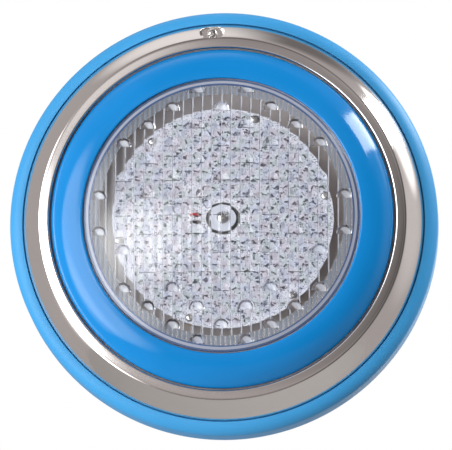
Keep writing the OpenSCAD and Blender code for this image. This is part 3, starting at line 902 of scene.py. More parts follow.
@dataclass
class CrossScrew:
    """A pan-head screw with a cross recess."""

    name: str
    x: float
    up: float
    seat: float
    head_r: float
    head_h: float
    shank_r: float
    shank_l: float
    turn: float = 0.0
    steps: int = 64

    def cutter(self) -> bpy.types.Object:
        """The tapered cross that is cut into the head.

        Returns:
            A solid that carve takes.
        """
        top, deep = self.seat + self.head_h + 0.2, self.seat + self.head_h * 0.25
        wide, narrow, half = self.head_r * 0.62, self.head_r * 0.2, self.head_r * 0.13
        bars = []
        for k in range(2):
            points = []
            a = math.radians(self.turn + 90 * k)
            along = np.array((math.cos(a), math.sin(a)))
            side = np.array((-math.sin(a), math.cos(a)))
            for reach, depth, half_w in ((wide, top, half * 1.15), (narrow, deep, half * 0.8)):
                for sa, sb in ((-1, -1), (1, -1), (1, 1), (-1, 1)):
                    spot = along * sa * reach + side * sb * half_w
                    points.append((self.x + spot[0], self.up + spot[1], depth))
            bars.append(new_piece("cross_bar", np.array(points), [
                (0, 1, 2, 3), (4, 5, 6, 7), (0, 1, 5, 4), (1, 2, 6, 5), (2, 3, 7, 6),
                (3, 0, 4, 7)]))
        carve(bars[0], bars[1:], Carve.JOIN)
        return bars[0]

    def build(self) -> bpy.types.Object:
        """Turns the screw and cuts its recess.

        Returns:
            The screw, with nothing on it yet.
        """
        low, top = self.seat - self.shank_l, self.seat + self.head_h
        edge = self.head_h * 0.42
        profile = rounded([
            (0.0, low), (self.shank_r * 0.65, low), (self.shank_r, low + 1.4, 0.3),
            (self.shank_r, self.seat - 0.2), (self.shank_r + 0.15, self.seat),
            (self.head_r - 0.2, self.seat, 0.12), (self.head_r, self.seat + 0.25, 0.12),
            (self.head_r, self.seat + edge, 0.5), (self.head_r * 0.72, top - 0.12, 0.9),
            (0.0, top)], 5, closed=False)
        screw = turned(self.name, profile, self.steps, (self.x, self.up))
        carve(screw, [self.cutter()], Carve.CUT, 30.0)
        return screw


# --------------------------------------------------------------------------- the wall base


@dataclass
class WallBase:
    """The blue drum that is screwed to the wall."""

    outer_r: float = 145.0
    depth: float = 28.0
    wall: float = 3.0
    floor: float = 3.5
    edge_round: float = 8.8
    opening_r: float = 85.0
    shelf_d: float = 26.9
    shelf_t: float = 3.0
    shelf_w: float = 12.2
    groove_w: float = 0.8
    groove_h: float = 1.7
    screw_circle: float = 115.0
    screw_r: float = 2.75
    pad_r: float = 7.0
    pad_h: float = 1.5
    post: tuple[float, float] = PILOT_SPOT
    post_r: float = 6.4
    insert_r: float = 3.6
    insert_l: float = 9.0
    notch_half: float = 20.0
    notch_r: float = 133.5

    def profile(self) -> Profile:
        """The drum's closed profile, with small roundings at its edges.

        Returns:
            Radius and depth of each point.
        """
        middle_r, middle_d = self.outer_r - self.edge_round, self.depth - self.edge_round
        inner = self.edge_round - self.wall
        under = self.shelf_d - self.shelf_t
        outside = [(middle_r + self.edge_round * math.cos(a),
                    middle_d + self.edge_round * math.sin(a))
                   for a in np.linspace(0, math.pi / 2, 25)]
        inside = [(middle_r + inner * math.cos(a), min(middle_d + inner * math.sin(a), under))
                  for a in np.linspace(math.pi / 2, 0, 15)]
        foot = rounded([(self.opening_r, self.floor), (self.opening_r, 0.0, 0.5),
                        (self.outer_r, 0.0, 0.4), (self.outer_r, 2.0)], 3, closed=False)
        shelf_in = middle_r - self.shelf_w
        groove_d, groove_r = self.shelf_d - self.groove_h, middle_r - self.groove_w
        shelf = rounded([(middle_r, self.depth), (middle_r, groove_d, 0.1),
                         (groove_r, groove_d, 0.1), (groove_r, self.shelf_d, 0.15),
                         (shelf_in, self.shelf_d, 0.4), (shelf_in, under, 0.4),
                         (shelf_in + 2, under)], 3, closed=False)
        corner = rounded([(self.outer_r - self.wall, middle_d - 2),
                          (self.outer_r - self.wall, self.floor, 2.5),
                          (self.opening_r + 1, self.floor)], 5, closed=False)
        return foot[1:] + outside + shelf[1:] + inside + corner

    def build(self) -> None:
        """Turns the drum, joins its pads and post, and cuts its holes."""
        base = turned("base_drum", self.profile(), 360)
        around = [math.radians(45 + 90 * k) for k in range(4)]
        spots = [(self.screw_circle * math.cos(a), self.screw_circle * math.sin(a)) for a in around]
        pads = [turned("pad", rounded([
            (0.0, self.floor - 1), (self.pad_r + 0.6, self.floor - 1),
            (self.pad_r + 0.4, self.floor),
            (self.pad_r, self.floor + self.pad_h, 0.4), (0.0, self.floor + self.pad_h)],
            4, closed=False), 48, s) for s in spots]
        post = turned("post", rounded([
            (0.0, 1.0), (self.post_r + 1.2, 1.0), (self.post_r + 1.2, self.floor, 0.2),
            (self.post_r, self.floor + 3, 1.5), (self.post_r, self.shelf_d - 1.0),
            (0.0, self.shelf_d - 1.0)], 4, closed=False), 64, self.post)
        carve(base, [*pads, post], Carve.JOIN)
        holes = [drum("hole", s, self.screw_r, -1.0, 12.0) for s in spots]
        bore = drum("bore", self.post, self.insert_r, self.shelf_d - self.insert_l, 40.0)
        notch = block("notch", (-self.notch_half, -self.notch_r, self.shelf_d - self.shelf_t - 1),
                      (self.notch_half, -self.notch_r + 20, self.shelf_d + 1))
        carve(base, [*holes, bore, notch], Carve.CUT)
        settle(base, Body.BASE, "blue_base_plastic", "wall_base")


# --------------------------------------------------------------------------- the trim ring


@dataclass
class TrimRing:
    """The polished steel ring, with its crease, rolled rim and pressed pocket."""

    outer_r: float = 135.3
    seat: float = 27.2
    sheet: float = 1.2
    crease: tuple[float, float] = (123.6, 44.5)
    rim_r: float = 116.8
    rim_d: float = 45.0
    rim_foot: float = 39.0
    bulge: float = 1.0
    pocket_at: tuple[float, float] = PILOT_SPOT
    pocket_half_l: float = 3.4
    pocket_half_w: float = 3.9
    pocket_seat: float = 31.6
    pocket_wall: float = 1.15
    hole_r: float = 2.3
    fine_step: float = 0.1
    coarse_step: float = 0.9
    fine_reach: float = 5.4

    def skin(self) -> Profile:
        """The outside of the ring, from its seat over the crease to its rim's foot.

        Returns:
            Radius and depth of each point.
        """
        band = bow((self.outer_r, self.seat + self.sheet), self.crease, -self.bulge, 76)
        near = 6
        start, turn = band[-near], self.crease
        over = rounded([start, (*turn, 1.9), (self.rim_r + 0.45, self.rim_d - 0.05, 1.1),
                        (self.rim_r, self.rim_d - 1.4, 0.6), (self.rim_r, self.rim_foot)],
                       8, closed=False)
        return [(self.outer_r, self.seat), *band[:-near], *over]

    def angles(self) -> Points:
        """Column angles, close together round the pocket.

        Returns:
            The angles in radians, in order.
        """
        middle = math.degrees(math.atan2(self.pocket_at[1], self.pocket_at[0]))
        fine = np.arange(-self.fine_reach, self.fine_reach, self.fine_step)
        rest = np.linspace(self.fine_reach, 360 - self.fine_reach,
                           int((360 - 2 * self.fine_reach) / self.coarse_step) + 1)[:-1]
        return np.radians(middle + np.concatenate((fine, rest)))

    def sunk(self, points: Points, below: float) -> Points:
        """Presses the pocket into one side of the sheet.

        Args:
            points: Points of that side.
            below: How far that side lies under the outside of the sheet.

        Returns:
            The points with the pocket in them.
        """
        x, up = points[:, 0] - self.pocket_at[0], points[:, 1] - self.pocket_at[1]
        along = np.maximum(np.abs(x) - self.pocket_half_l, 0)
        beyond = np.hypot(along, up) - self.pocket_half_w - below
        share = smooth_step(self.pocket_wall, -0.1, beyond)
        floor = self.pocket_seat - below
        pressed = points[:, 2] * (1 - share) + floor * share
        made = points.copy()
        made[:, 2] = np.minimum(points[:, 2], pressed)
        return made

    def build(self) -> None:
        """Turns both sides of the sheet, presses the pocket and punches its hole."""
        outside = self.skin()
        inside = offset_line(outside, self.sheet)
        inside = [inside[i] for i in range(2, len(inside), 2)]
        inside[0] = (self.outer_r - 1.6, self.seat)
        inside[-1] = (self.rim_r + self.sheet, self.rim_foot)
        profile = outside + inside[::-1]
        points, faces = lathe_mesh(profile, self.angles())
        is_outside = np.tile(np.arange(len(profile)) < len(outside), len(self.angles()))
        points[is_outside] = self.sunk(points[is_outside], 0.0)
        points[~is_outside] = self.sunk(points[~is_outside], self.sheet)
        ring = new_piece("steel_trim_ring", points, faces, 50.0)
        hole = drum("hole", self.pocket_at, self.hole_r, self.seat - 2, self.pocket_seat + 3)
        carve(ring, [hole], Carve.CUT, 50.0)
        settle(ring, Body.LAMP, "polished_steel", "trim_ring")


# --------------------------------------------------------------------------- the bezel


@dataclass
class Bezel:
    """The glossy blue ring that clamps the lens."""

    outer_r: float = 115.4
    skirt_t: float = 3.0
    foot: float = 39.0
    edge_d: float = 44.2
    opening_r: float = 93.6
    top_d: float = 57.8
    bulge: float = 3.2
    clamp_d: float = 54.0
    pocket_r: float = 103.3
    boss_circle: float = 107.8
    boss_r: float = 3.6
    bosses: int = 12

    def outside(self) -> Profile:
        """The bowed outside, from its outer edge to the lens."""
        return bow((self.outer_r, self.edge_d), (self.opening_r + 1.4, self.top_d), -self.bulge, 30)

    def build(self) -> None:
        """Turns the bezel and stands its screw bosses inside it."""
        skin = self.outside()
        lining = [p for p in offset_line(skin, self.skirt_t)[::-1]
                  if self.pocket_r + 0.3 < p[0] < self.outer_r - self.skirt_t]
        lip = rounded([skin[-1], (self.opening_r + 0.05, self.top_d - 0.1, 1.3),
                       (self.opening_r, self.clamp_d, 0.15), (self.pocket_r, self.clamp_d, 0.3),
                       lining[0]], 5, closed=False)
        foot = rounded([lining[-1], (self.outer_r - self.skirt_t, self.foot, 0.3),
                        (self.outer_r, self.foot, 0.3), skin[0]], 3, closed=False)
        profile = skin + lip[1:-1] + lining + foot[1:-1]
        ring = turned("blue_bezel", profile, 360)
        posts = []
        for k in range(self.bosses):
            a = math.radians(15 + 360 * k / self.bosses)
            spot = (self.boss_circle * math.cos(a), self.boss_circle * math.sin(a))
            posts.append(turned("boss", rounded([
                (1.55, self.foot), (self.boss_r, self.foot, 0.3), (self.boss_r, self.foot + 9.5),
                (1.55, self.foot + 9.5)], 3), 32, spot))
        bezel = merged("blue_bezel_ring", [ring, *posts])
        tidy_mesh(bezel)
        settle(bezel, Body.LAMP, "blue_bezel_plastic", "bezel_ring")


# --------------------------------------------------------------------------- the lens


class LensFace(IntEnum):
    """The finishes of the lens's faces, in the order of its material slots. Apart from the clear
    face and the rim's lavender band, they are painted shade and painted highlights.
    """

    CLEAR = 0
    FLUTE_SHADE = 1
    FLUTE_LIGHT = 2
    RIM = 3
    RIM_SHADE = 4
    RIB = 5
    FOOT = 6
    RIB_GAP = 7


@dataclass
class Lens:
    """The clear lens: smooth outside, with flutes, ribs and half-dome beads inside."""

    outer_r: float = 92.8
    flange_r: float = 103.0
    flange_d: float = 51.0
    flange_top: float = 54.0
    edge_d: float = 57.0
    bevel_r: float = 88.8
    bevel_d: float = 59.0
    face_r: float = 82.0
    face_d: float = 60.6
    crown: float = 6.0
    wall: float = 2.6
    flute_pitch: float = 6.5
    flute_sag: float = 0.16
    groove: float = 0.55
    groove_half: float = 0.45
    rib_pitch: float = 3.25
    glint_w: float = 0.9
    board_r: float = 74.8
    rim_line_r: float = 89.6
    rim_shade_r: float = 91.4
    grid_r: float = 87.2
    rib_sag: float = 0.6
    bead_x: float = 33.0
    bead_up: float = 12.3
    bead_lift: float = -2.6
    lowest_bead: float = -86.6
    bead_half_w: float = 5.3
    bead_h: float = 5.9
    bead_out: float = 2.5
    low_bead_out: float = 0.7
    tall_bead_r: float = 70.8
    tall_bead_up: float = -50.0
    low_tall_r: float = 55.0
    bead_foot: float = 0.4
    bead_limit: float = 88.4
    foot_over: float = 0.02
    outline_from: float = 0.55
    outline_side: float = 0.35
    glint_to: float = 0.6
    glint_side: float = 0.05
    rib_share: float = 0.45
    row_bow: float = 2.0
    bow_rows: float = 2.5
    bead_rows: int = 7

    def dome(self, radius: Points) -> Points:
        """Depth of the smooth outside of the face at a radius."""
        return self.face_d + self.crown * (1 - (radius / self.face_r) ** 2)

    def beads(self) -> list[tuple[float, float]]:
        """The middle of each bead's flat lower edge, as x and up.

        Returns:
            One pair for each bead.
        """
        found = []
        for row in range(-self.bead_rows, self.bead_rows + 1):
            first = 0.0 if row % 2 == 0 else self.bead_x / 2
            for column in range(-3, 4):
                x = first + column * self.bead_x
                bowed = self.row_bow * math.exp(-((row / self.bow_rows) ** 2))
                up = self.bead_lift + row * self.bead_up + bowed
                up = max(up, self.lowest_bead)
                if math.hypot(x, up) <= self.bead_limit:
                    found.append((x, up))
        return found

    def is_tall(self, x: float, up: float) -> bool:
        """Whether a bead is a tall one, near the LED board's edge or outside it."""
        radius = math.hypot(x, up)
        return radius > self.tall_bead_r or (up < self.tall_bead_up and radius > self.low_tall_r)

    def relief(self, x: Points, up: Points, ribbed: Points) -> Points:
        """How far the inside stands in from the plain wall.

        Args:
            x: Where, to the right.
            up: Where, upwards.
            ribbed: 1 in the ribbed border, 0 in the fluted face.

        Returns:
            Millimetres towards the LED board.
        """
        u = np.mod(x / self.flute_pitch, 1.0)
        fluted = self.flute_sag * 4 * u * (1 - u)
        near = np.minimum(u, 1 - u) * self.flute_pitch
        fluted -= self.groove * np.clip(1 - near / self.groove_half, 0, 1)
        v = np.mod(x / self.rib_pitch, 1.0)
        ribs = self.rib_sag * (1 - np.abs(np.cos(math.pi * v)))
        depth = fluted * (1 - ribbed) + ribs * ribbed
        for bx, bu in self.beads():
            dx, du = (x - bx) / self.bead_half_w, (up - bu) / self.bead_h
            inside = np.clip(1 - dx * dx - du * du, 0, 1)
            out = self.bead_out if self.is_tall(bx, bu) else self.low_bead_out
            bead = np.where(du >= -0.002, out * np.sqrt(inside), 0)
            depth = np.maximum(depth, bead)
        return depth

    def plain_depth(self, radius: Points) -> Points:
        """Depth of the outside of the face and border at a radius, without any relief."""
        border = np.interp(radius, (self.face_r, self.bevel_r), (self.face_d, self.bevel_d))
        return np.where(radius < self.face_r, self.dome(radius), border)

    def inside_depth(self, x: Points, up: Points) -> Points:
        """Depth of the inside of the face and border.

        Args:
            x: Where, to the right.
            up: Where, upwards.

        Returns:
            Millimetres out of the wall.
        """
        radius = np.hypot(x, up)
        ribbed = smooth_step(self.face_r - 0.2, self.face_r + 0.5, radius)
        fade = smooth_step(self.bevel_r - 0.5, self.bevel_r - 1.1, radius)
        return self.plain_depth(radius) - self.wall - self.relief(x, up, ribbed) * fade

    def lines(self) -> tuple[Points, Points]:
        """Grid lines of the face: close at each groove and at each bead's flat edge.

        Returns:
            The x of each upright line, and the up of each level one.
        """
        steps = (0.0, 0.22, 0.45, 0.9, 1.27, 1.625, 2.0, 2.45, 2.9, 3.25, 3.6, 4.05, 4.5, 4.875,
                 5.25, 5.65, 6.05, 6.28)
        half = int(self.grid_r / self.flute_pitch) + 2
        across = np.array([k * self.flute_pitch + s for k in range(-half, half) for s in steps])
        feet = sorted({up for _, up in self.beads()})
        upwards = [-self.grid_r - 2, -self.grid_r + 1]
        for low, high in zip(feet, [*feet[1:], self.grid_r + 2], strict=True):
            upwards += [low - self.bead_foot, *np.linspace(low, high - self.bead_foot, 20)[:-1]]
        return across, np.unique(np.array(upwards))

    def patch(self) -> tuple[Points, Faces, Points]:
        """The inside of the face and most of the border as a grid with a round edge.

        Returns:
            Its points (depth not set), its faces, and the numbers of its edge points in order.
        """
        across, upwards = self.lines()
        nx, nu = len(across), len(upwards)
        x, up = np.meshgrid(across, upwards, indexing="ij")
        inside = np.hypot(x, up) < self.grid_r - 0.3
        corner = inside[:-1, :-1] & inside[1:, :-1] & inside[:-1, 1:] & inside[1:, 1:]
        number = np.arange(nx * nu).reshape(nx, nu)
        cells = [(int(number[i, j]), int(number[i + 1, j]), int(number[i + 1, j + 1]),
                  int(number[i, j + 1])) for i, j in zip(*np.nonzero(corner), strict=True)]
        edges: dict[tuple[int, int], int] = {}
        for cell in cells:
            for a, b in zip(cell, cell[1:] + cell[:1], strict=True):
                edges[a, b] = edges.get((a, b), 0) + 1
        after = {a: b for a, b in edges if (b, a) not in edges}
        start = next(iter(after))
        loop, here = [start], after[start]
        while here != start:
            loop.append(here)
            here = after[here]
        points = np.stack((x.ravel(), up.ravel(), np.zeros(nx * nu)), axis=1)
        return points, cells, np.array(loop)

    def build(self) -> None:
        """Joins the fluted face to the turned border, rim, flange and smooth outside."""
        points, faces, loop = self.patch()
        edge = points[loop]
        turn = np.arctan2(edge[:, 1], edge[:, 0])
        inner_rows = 4
        radii = np.linspace(self.grid_r - 0.1, self.bevel_r - 0.5, inner_rows)
        reach, turn_all = np.meshgrid(radii, turn, indexing="ij")
        x, up = reach * np.cos(turn_all), reach * np.sin(turn_all)
        border = self.inside_depth(x, up)
        rest = [(self.outer_r - self.wall, self.edge_d - self.wall * 0.6),
                (self.outer_r - self.wall, self.flange_d)]
        rest += rounded([(self.outer_r - self.wall, self.flange_d),
                         (self.flange_r, self.flange_d, 0.3),
                         (self.flange_r, self.flange_top, 0.3),
                         (self.outer_r, self.flange_top, 0.3),
                         (self.outer_r, self.edge_d, 0.5),
                         (self.rim_shade_r, self.bevel_d - (self.rim_shade_r - self.bevel_r) / 2),
                         (self.rim_line_r, self.bevel_d - (self.rim_line_r - self.bevel_r) / 2),
                         (self.bevel_r, self.bevel_d, 0.3),
                         (self.face_r, self.face_d, 0.5),
                         (self.face_r - 4, float(self.dome(self.face_r - 4)))],
                        4, closed=False)[1:]
        rest += [(float(r), float(self.dome(r))) for r in np.linspace(self.face_r - 6, 0, 26)]
        rows = [np.stack((x[i], up[i], border[i]), axis=1) for i in range(inner_rows)]
        for r, d in rest:
            rows.append(np.stack((r * np.cos(turn), r * np.sin(turn), np.full(len(turn), d)),
                                 axis=1))
        points[:, 2] = self.inside_depth(points[:, 0], points[:, 1])
        numbers = [loop]
        for row in rows:
            numbers.append(np.arange(len(points), len(points) + len(row)))
            points = np.concatenate((points, row))
        for a, b in zip(numbers, numbers[1:], strict=False):
            for k in range(len(turn)):
                n = (k + 1) % len(turn)
                faces.append((int(a[k]), int(a[n]), int(b[n]), int(b[k])))
        used = np.unique(np.concatenate([np.array(f) for f in faces]))
        place = np.full(len(points), -1)
        place[used] = np.arange(len(used))
        faces = [tuple(int(place[i]) for i in f) for f in faces]
        lens = new_piece("fluted_lens", points[used], faces, 42.0)
        settle(lens, Body.LAMP, "clear_lens", "lens")
        self.dress_flutes(lens)

    def dress_flutes(self, lens: bpy.types.Object) -> None:
        """Paints shade on one side of each flute's edge and a highlight on the other, painted shade
        and highlights on the beads, painted light and shade stripes on the border's ribs, and a
        lavender rim band with painted shade at its edges.

        Args:
            lens: The lens, with its main finish on it.
        """
        for name in LensFace.__members__:
            if name != LensFace.CLEAR.name:
                lens.data.materials.append(FINISHES.get(f"lens_{name.lower()}"))
        middles = np.empty(len(lens.data.polygons) * 3)
        lens.data.polygons.foreach_get("center", middles)
        middles = middles.reshape(-1, 3) / MM
        x, up, depth = middles[:, 0], middles[:, 2], -middles[:, 1]
        radius = np.hypot(x, up)
        inside = depth < self.plain_depth(radius) - self.wall * 0.5
        face, border = inside & (radius < self.face_r), inside & (radius >= self.face_r)
        along = np.mod(x, self.flute_pitch)
        kind = np.zeros(len(x), dtype=np.int32)
        # Painted shade on one side of each groove and a painted highlight on the other, wider
        # outside the board.
        kind[face & (along > self.flute_pitch - self.groove_half)] = LensFace.FLUTE_SHADE
        bright = np.where(radius < self.board_r, self.groove_half, self.glint_w)
        kind[face & (along < bright)] = LensFace.FLUTE_LIGHT
        for bx, bu in self.beads():
            dx, du = (x - bx) / self.bead_half_w, (up - bu) / self.bead_h
            reach = dx * dx + du * du
            on_bead = inside & (reach < 1) & (up > bu)
            foot = (inside & (np.abs(dx) < 1) & (up < bu + self.foot_over)
                    & (up > bu - self.bead_foot))
            if self.is_tall(bx, bu):
                # Tall beads get painted shade round their upper left edge and a painted highlight
                # on their inner upper right.
                outline = (reach > self.outline_from) & (du - dx * 0.8 > self.outline_side)
                glint = (reach < self.glint_to) & (dx + du > self.glint_side)
                kind[on_bead] = LensFace.CLEAR
                kind[on_bead & outline] = LensFace.FLUTE_SHADE
                kind[on_bead & glint] = LensFace.FLUTE_LIGHT
            # Painted shade along each bead's flat lower edge.
            kind[foot] = LensFace.FOOT
        # Painted stripes of light and shade across the border's ribs.
        plain = border & (radius < self.bevel_r) & (kind == LensFace.CLEAR)
        on_rib = np.mod(x, self.rib_pitch) < self.rib_pitch * self.rib_share
        kind[plain] = LensFace.RIB_GAP
        kind[plain & on_rib] = LensFace.RIB
        # A half-clear lavender band on the rim, with painted shade at its inner and outer edges.
        rim = (radius > self.bevel_r) & (depth > self.flange_top + 1)
        shaded = (radius < self.rim_line_r) | (radius > self.rim_shade_r)
        kind[rim] = LensFace.RIM
        kind[rim & shaded] = LensFace.RIM_SHADE
        lens.data.polygons.foreach_set("material_index", kind)


# --------------------------------------------------------------------------- the LED board


@dataclass
class LedBoard:
    """What stands on the white board: lead frames in the LEDs, screws and small parts."""

    radius: float = 74.8
    top: float = 42.5
    hole_r: float = 11.0
    grommet_wall: float = 1.3
    board_t: float = 1.6
    led_pitch: float = 6.1
    led_r: float = 2.5
    led_edge: float = 0.9
    frame_size: float = 0.62
    spacer_circle: float = 70.8
    spacer_r: float = 3.0
    spacers: int = 6
    spacer_first: float = 12.0
    lead_x: float = -17.0
    lead_up: float = 2.6
    lead_bend: float = 4.4
    chip: tuple[float, float] = (-21.4, 17.9)
    bush_top: float = 44.1
    seed: int = 7

    def spacer_spots(self) -> list[tuple[float, float]]:
        """Where the spacers' screws stand, as x and up.

        Returns:
            One pair for each spacer.
        """
        around = [math.radians(self.spacer_first + 360 * k / self.spacers)
                  for k in range(self.spacers)]
        return [(self.spacer_circle * math.cos(a), self.spacer_circle * math.sin(a))
                for a in around]

    def has_led(self, x: float, up: float) -> bool:
        """Whether an LED stands at a point of the lattice.

        Args:
            x: Where, to the right.
            up: Where, upwards.

        Returns:
            True if nothing else is in its place.
        """
        radius = math.hypot(x, up)
        if not self.hole_r + self.led_r + 1.4 < radius < self.radius - self.led_r - self.led_edge:
            return False
        reach = self.led_r + self.spacer_r + 0.4
        if min(math.hypot(x - sx, up - su) for sx, su in self.spacer_spots()) < reach:
            return False
        half = self.lead_bend / 2
        near_lead = (abs(x - self.lead_x + half) < half + self.led_r + 1.2
                     and abs(up) < self.lead_up + self.led_r + 1.2)
        return not near_lead and math.hypot(x - self.chip[0], up - self.chip[1]) >= self.led_r + 2.4

    def led_spots(self) -> list[tuple[float, float]]:
        """Where the LEDs stand, as x and up.

        Returns:
            One pair for each LED.
        """
        row_pitch = self.led_pitch * math.sqrt(3) / 2
        rows, columns = int(self.radius / row_pitch), int(self.radius / self.led_pitch)
        spots = [((i + (abs(j) % 2) / 2) * self.led_pitch, j * row_pitch)
                 for j in range(-rows, rows + 1) for i in range(-columns, columns + 1)]
        return [s for s in spots if self.has_led(*s)]

    @staticmethod
    def bar(low: Sequence[float], high: Sequence[float], taper: float) -> tuple[Points, Faces]:
        """A small upright bar that narrows towards its top.

        Args:
            low: Its lowest x, up and depth.
            high: Its highest x, up and depth.
            taper: Share of its width that is lost at the top.

        Returns:
            Its points and faces.
        """
        cx, cu = (low[0] + high[0]) / 2, (low[1] + high[1]) / 2
        points = []
        for depth, share in ((low[2], 1.0), (high[2] - 0.1, 1 - taper), (high[2], 0.8 - taper)):
            for x, u in ((low[0], low[1]), (high[0], low[1]),
                         (high[0], high[1]), (low[0], high[1])):
                points.append((cx + (x - cx) * share, cu + (u - cu) * share, depth))
        faces: Faces = [(3, 2, 1, 0), (8, 9, 10, 11)]
        for level in (0, 4):
            faces += [(level + k, level + (k + 1) % 4, level + 4 + (k + 1) % 4, level + 4 + k)
                      for k in range(4)]
        return np.array(points, float), faces

    def lead_frame(self) -> tuple[Points, Faces]:
        """One LED's lead frame about its own middle: an anvil with its cup, and a post.

        Returns:
            Its points and faces.
        """
        parts = [self.bar((-1.2, -0.22, 0.0), (-0.8, 0.22, 1.7), 0.0),
                 self.bar((-1.15, -0.4, 1.4), (0.1, 0.4, 2.0), 0.2),
                 self.bar((0.8, -0.22, 0.0), (1.2, 0.22, 2.0), 0.1)]
        cup = rounded([(0.0, 2.05), (0.25, 2.05, 0.1), (0.42, 2.4, 0.1), (0.55, 2.4, 0.05),
                       (0.45, 1.95), (0.0, 1.9)], 2, closed=False)
        points, faces = lathe_mesh(cup, even_angles(12))
        points[:, 0] -= 0.3
        parts.append((points, faces))
        for points, _ in parts:
            points[:, :2] *= self.frame_size
        every, joined_faces, first = [], [], 0
        for p, f in parts:
            every.append(p)
            joined_faces += [tuple(i + first for i in face) for face in f]
            first += len(p)
        return np.concatenate(every), joined_faces

    def build_frames(self) -> None:
        """Puts a lead frame into every LED, each turned and leaned a little on its own."""
        draw = random.Random(self.seed)
        shape, shape_faces = self.lead_frame()
        every, faces = [], []
        for x, up in self.led_spots():
            a = math.radians(draw.uniform(0, 360))
            lean = np.array((draw.gauss(0, 0.02), draw.gauss(0, 0.02)))
            turn = np.array(((math.cos(a), -math.sin(a)), (math.sin(a), math.cos(a))))
            spot = shape.copy()
            spot[:, :2] = shape[:, :2] @ turn.T + shape[:, 2:3] * lean + np.array((x, up))
            spot[:, 2] += self.top
            first = len(every) * len(shape)
            every.append(spot)
            faces += [tuple(i + first for i in face) for face in shape_faces]
        frames = new_piece("led_lead_frames", np.concatenate(every), faces, 35.0)
        settle(frames, Body.LAMP, "plain_steel", finish="tarnished_frame")

    def build_screws(self) -> None:
        """Puts cross-head screws on the spacers and in the middle."""
        draw = random.Random(self.seed + 1)
        screws = [CrossScrew(f"board_screw_{k}", x, up, self.top, 2.8, 1.8, 1.5, 8.6,
                             draw.uniform(0, 90), 40).build()
                  for k, (x, up) in enumerate(self.spacer_spots())]
        settle(merged("board_cross_screws", screws), Body.LAMP, "screw_steel", "board_screws")
        middle = CrossScrew("centre_cross_screw", 0, 0, self.bush_top, 4.0, 2.2, 1.5, 12.2, 28.0)
        settle(middle.build(), Body.LAMP, "screw_steel", "centre_screw")

    def build_grommet(self) -> None:
        """Sets the rubber grommet flush in the board's middle hole."""
        outer, inner = self.hole_r - 0.02, self.hole_r - self.grommet_wall
        ring = turned("centre_grommet_ring", rounded([
            (inner, self.top - self.board_t, 0.15), (outer, self.top - self.board_t, 0.15),
            (outer, self.top + 0.3, 0.2), (inner, self.top + 0.3, 0.2)], 4), 96)
        settle(ring, Body.LAMP, "black_rubber", "centre_grommet")

    def build_leads(self) -> None:
        """Lays the two leads from the terminal block to their pads."""
        floor = 26.6
        for name, start, side, slot in (("red_lead", -1.5, 1, "lead_red"),
                                        ("black_lead", -6.5, -1, "lead_black")):
            up = side * self.lead_up
            route = [(start, -12.0, floor + 3.2), (start, -12.0, floor + 9.2),
                     (self.lead_x, up, floor + 6), (self.lead_x, up, self.top + 3.2),
                     (self.lead_x - self.lead_bend, up, self.top + 3),
                     (self.lead_x - self.lead_bend, up, self.top)]
            line = softened(route)
            sleeve = tube(f"{name}_sleeve", line[:-1], 0.9)
            settle(sleeve, Body.LAMP, slot, name)
            end = line[-1]
            solder = turned(f"{name}_solder", rounded([
                (0.0, end[2]), (1.5, end[2], 0.1), (1.0, end[2] + 0.5, 0.3),
                (0.55, end[2] + 1.5, 0.3), (0.0, end[2] + 1.6)], 4, closed=False),
                24, (float(end[0]), float(end[1])))
            settle(solder, Body.LAMP, "screw_steel")

    def build(self) -> None:
        """Builds everything that stands on the board."""
        self.build_frames()
        self.build_screws()
        self.build_grommet()
        self.build_leads()


# --------------------------------------------------------------------------- the pilot screw


@dataclass
class PilotScrew:
    """The screw in the trim ring's pocket, and its washer."""

    spot: tuple[float, float] = PILOT_SPOT
    seat: float = 31.6
    washer_t: float = 0.8
    washer_gap: float = 0.03
    washer_r: float = 3.6
    hole_r: float = 2.3

    def build(self) -> None:
        """Builds the washer and the screw."""
        top, seat = self.seat + self.washer_t, self.seat + self.washer_gap
        washer = turned("pilot_washer_ring", rounded([
            (self.hole_r, seat, 0.1), (self.washer_r, seat, 0.2),
            (self.washer_r, top, 0.25), (self.hole_r, top, 0.15)], 3), 64, self.spot)
        settle(washer, Body.WASHER, "white_nylon", "pilot_washer")
        screw = CrossScrew("pilot_cross_screw", *self.spot, top, 3.3, 2.4, 2.0, 11.2, 35.0, 72)
        settle(screw.build(), Body.SCREW, "screw_steel", "pilot_screw")


# --------------------------------------------------------------------------- carried-over parts


class CarriedNodes:
    """The CAD nodes whose shape is right, which only get better finishes."""

    def __init__(self) -> None:
        """Reads each node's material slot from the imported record."""
        self.slots = {s["node"]: s["material_slot"] for s in frame["record"]["subparts"]}

    def build(self) -> None:
        """Dresses every CAD node that is still shown."""
        for name, node in sorted(frame["nodes"].items()):
            if not node.hide_render:
                FINISHES.dress(node, self.slots[name])
                LOG.info("%s: carried over, %s", name, self.slots[name])


# --------------------------------------------------------------------------- the studio


@dataclass(frozen=True)
class Glow:
    """A soft round patch of light in the room round the lamp.

    Its place is given from where a flat face of the lamp mirrors the camera: degrees away from
    there, and degrees round from the right, anticlockwise. It is full inside its core and fades
    to its edge.
    """

    away: float
    around: float
    core: float
    edge: float
    bright: float


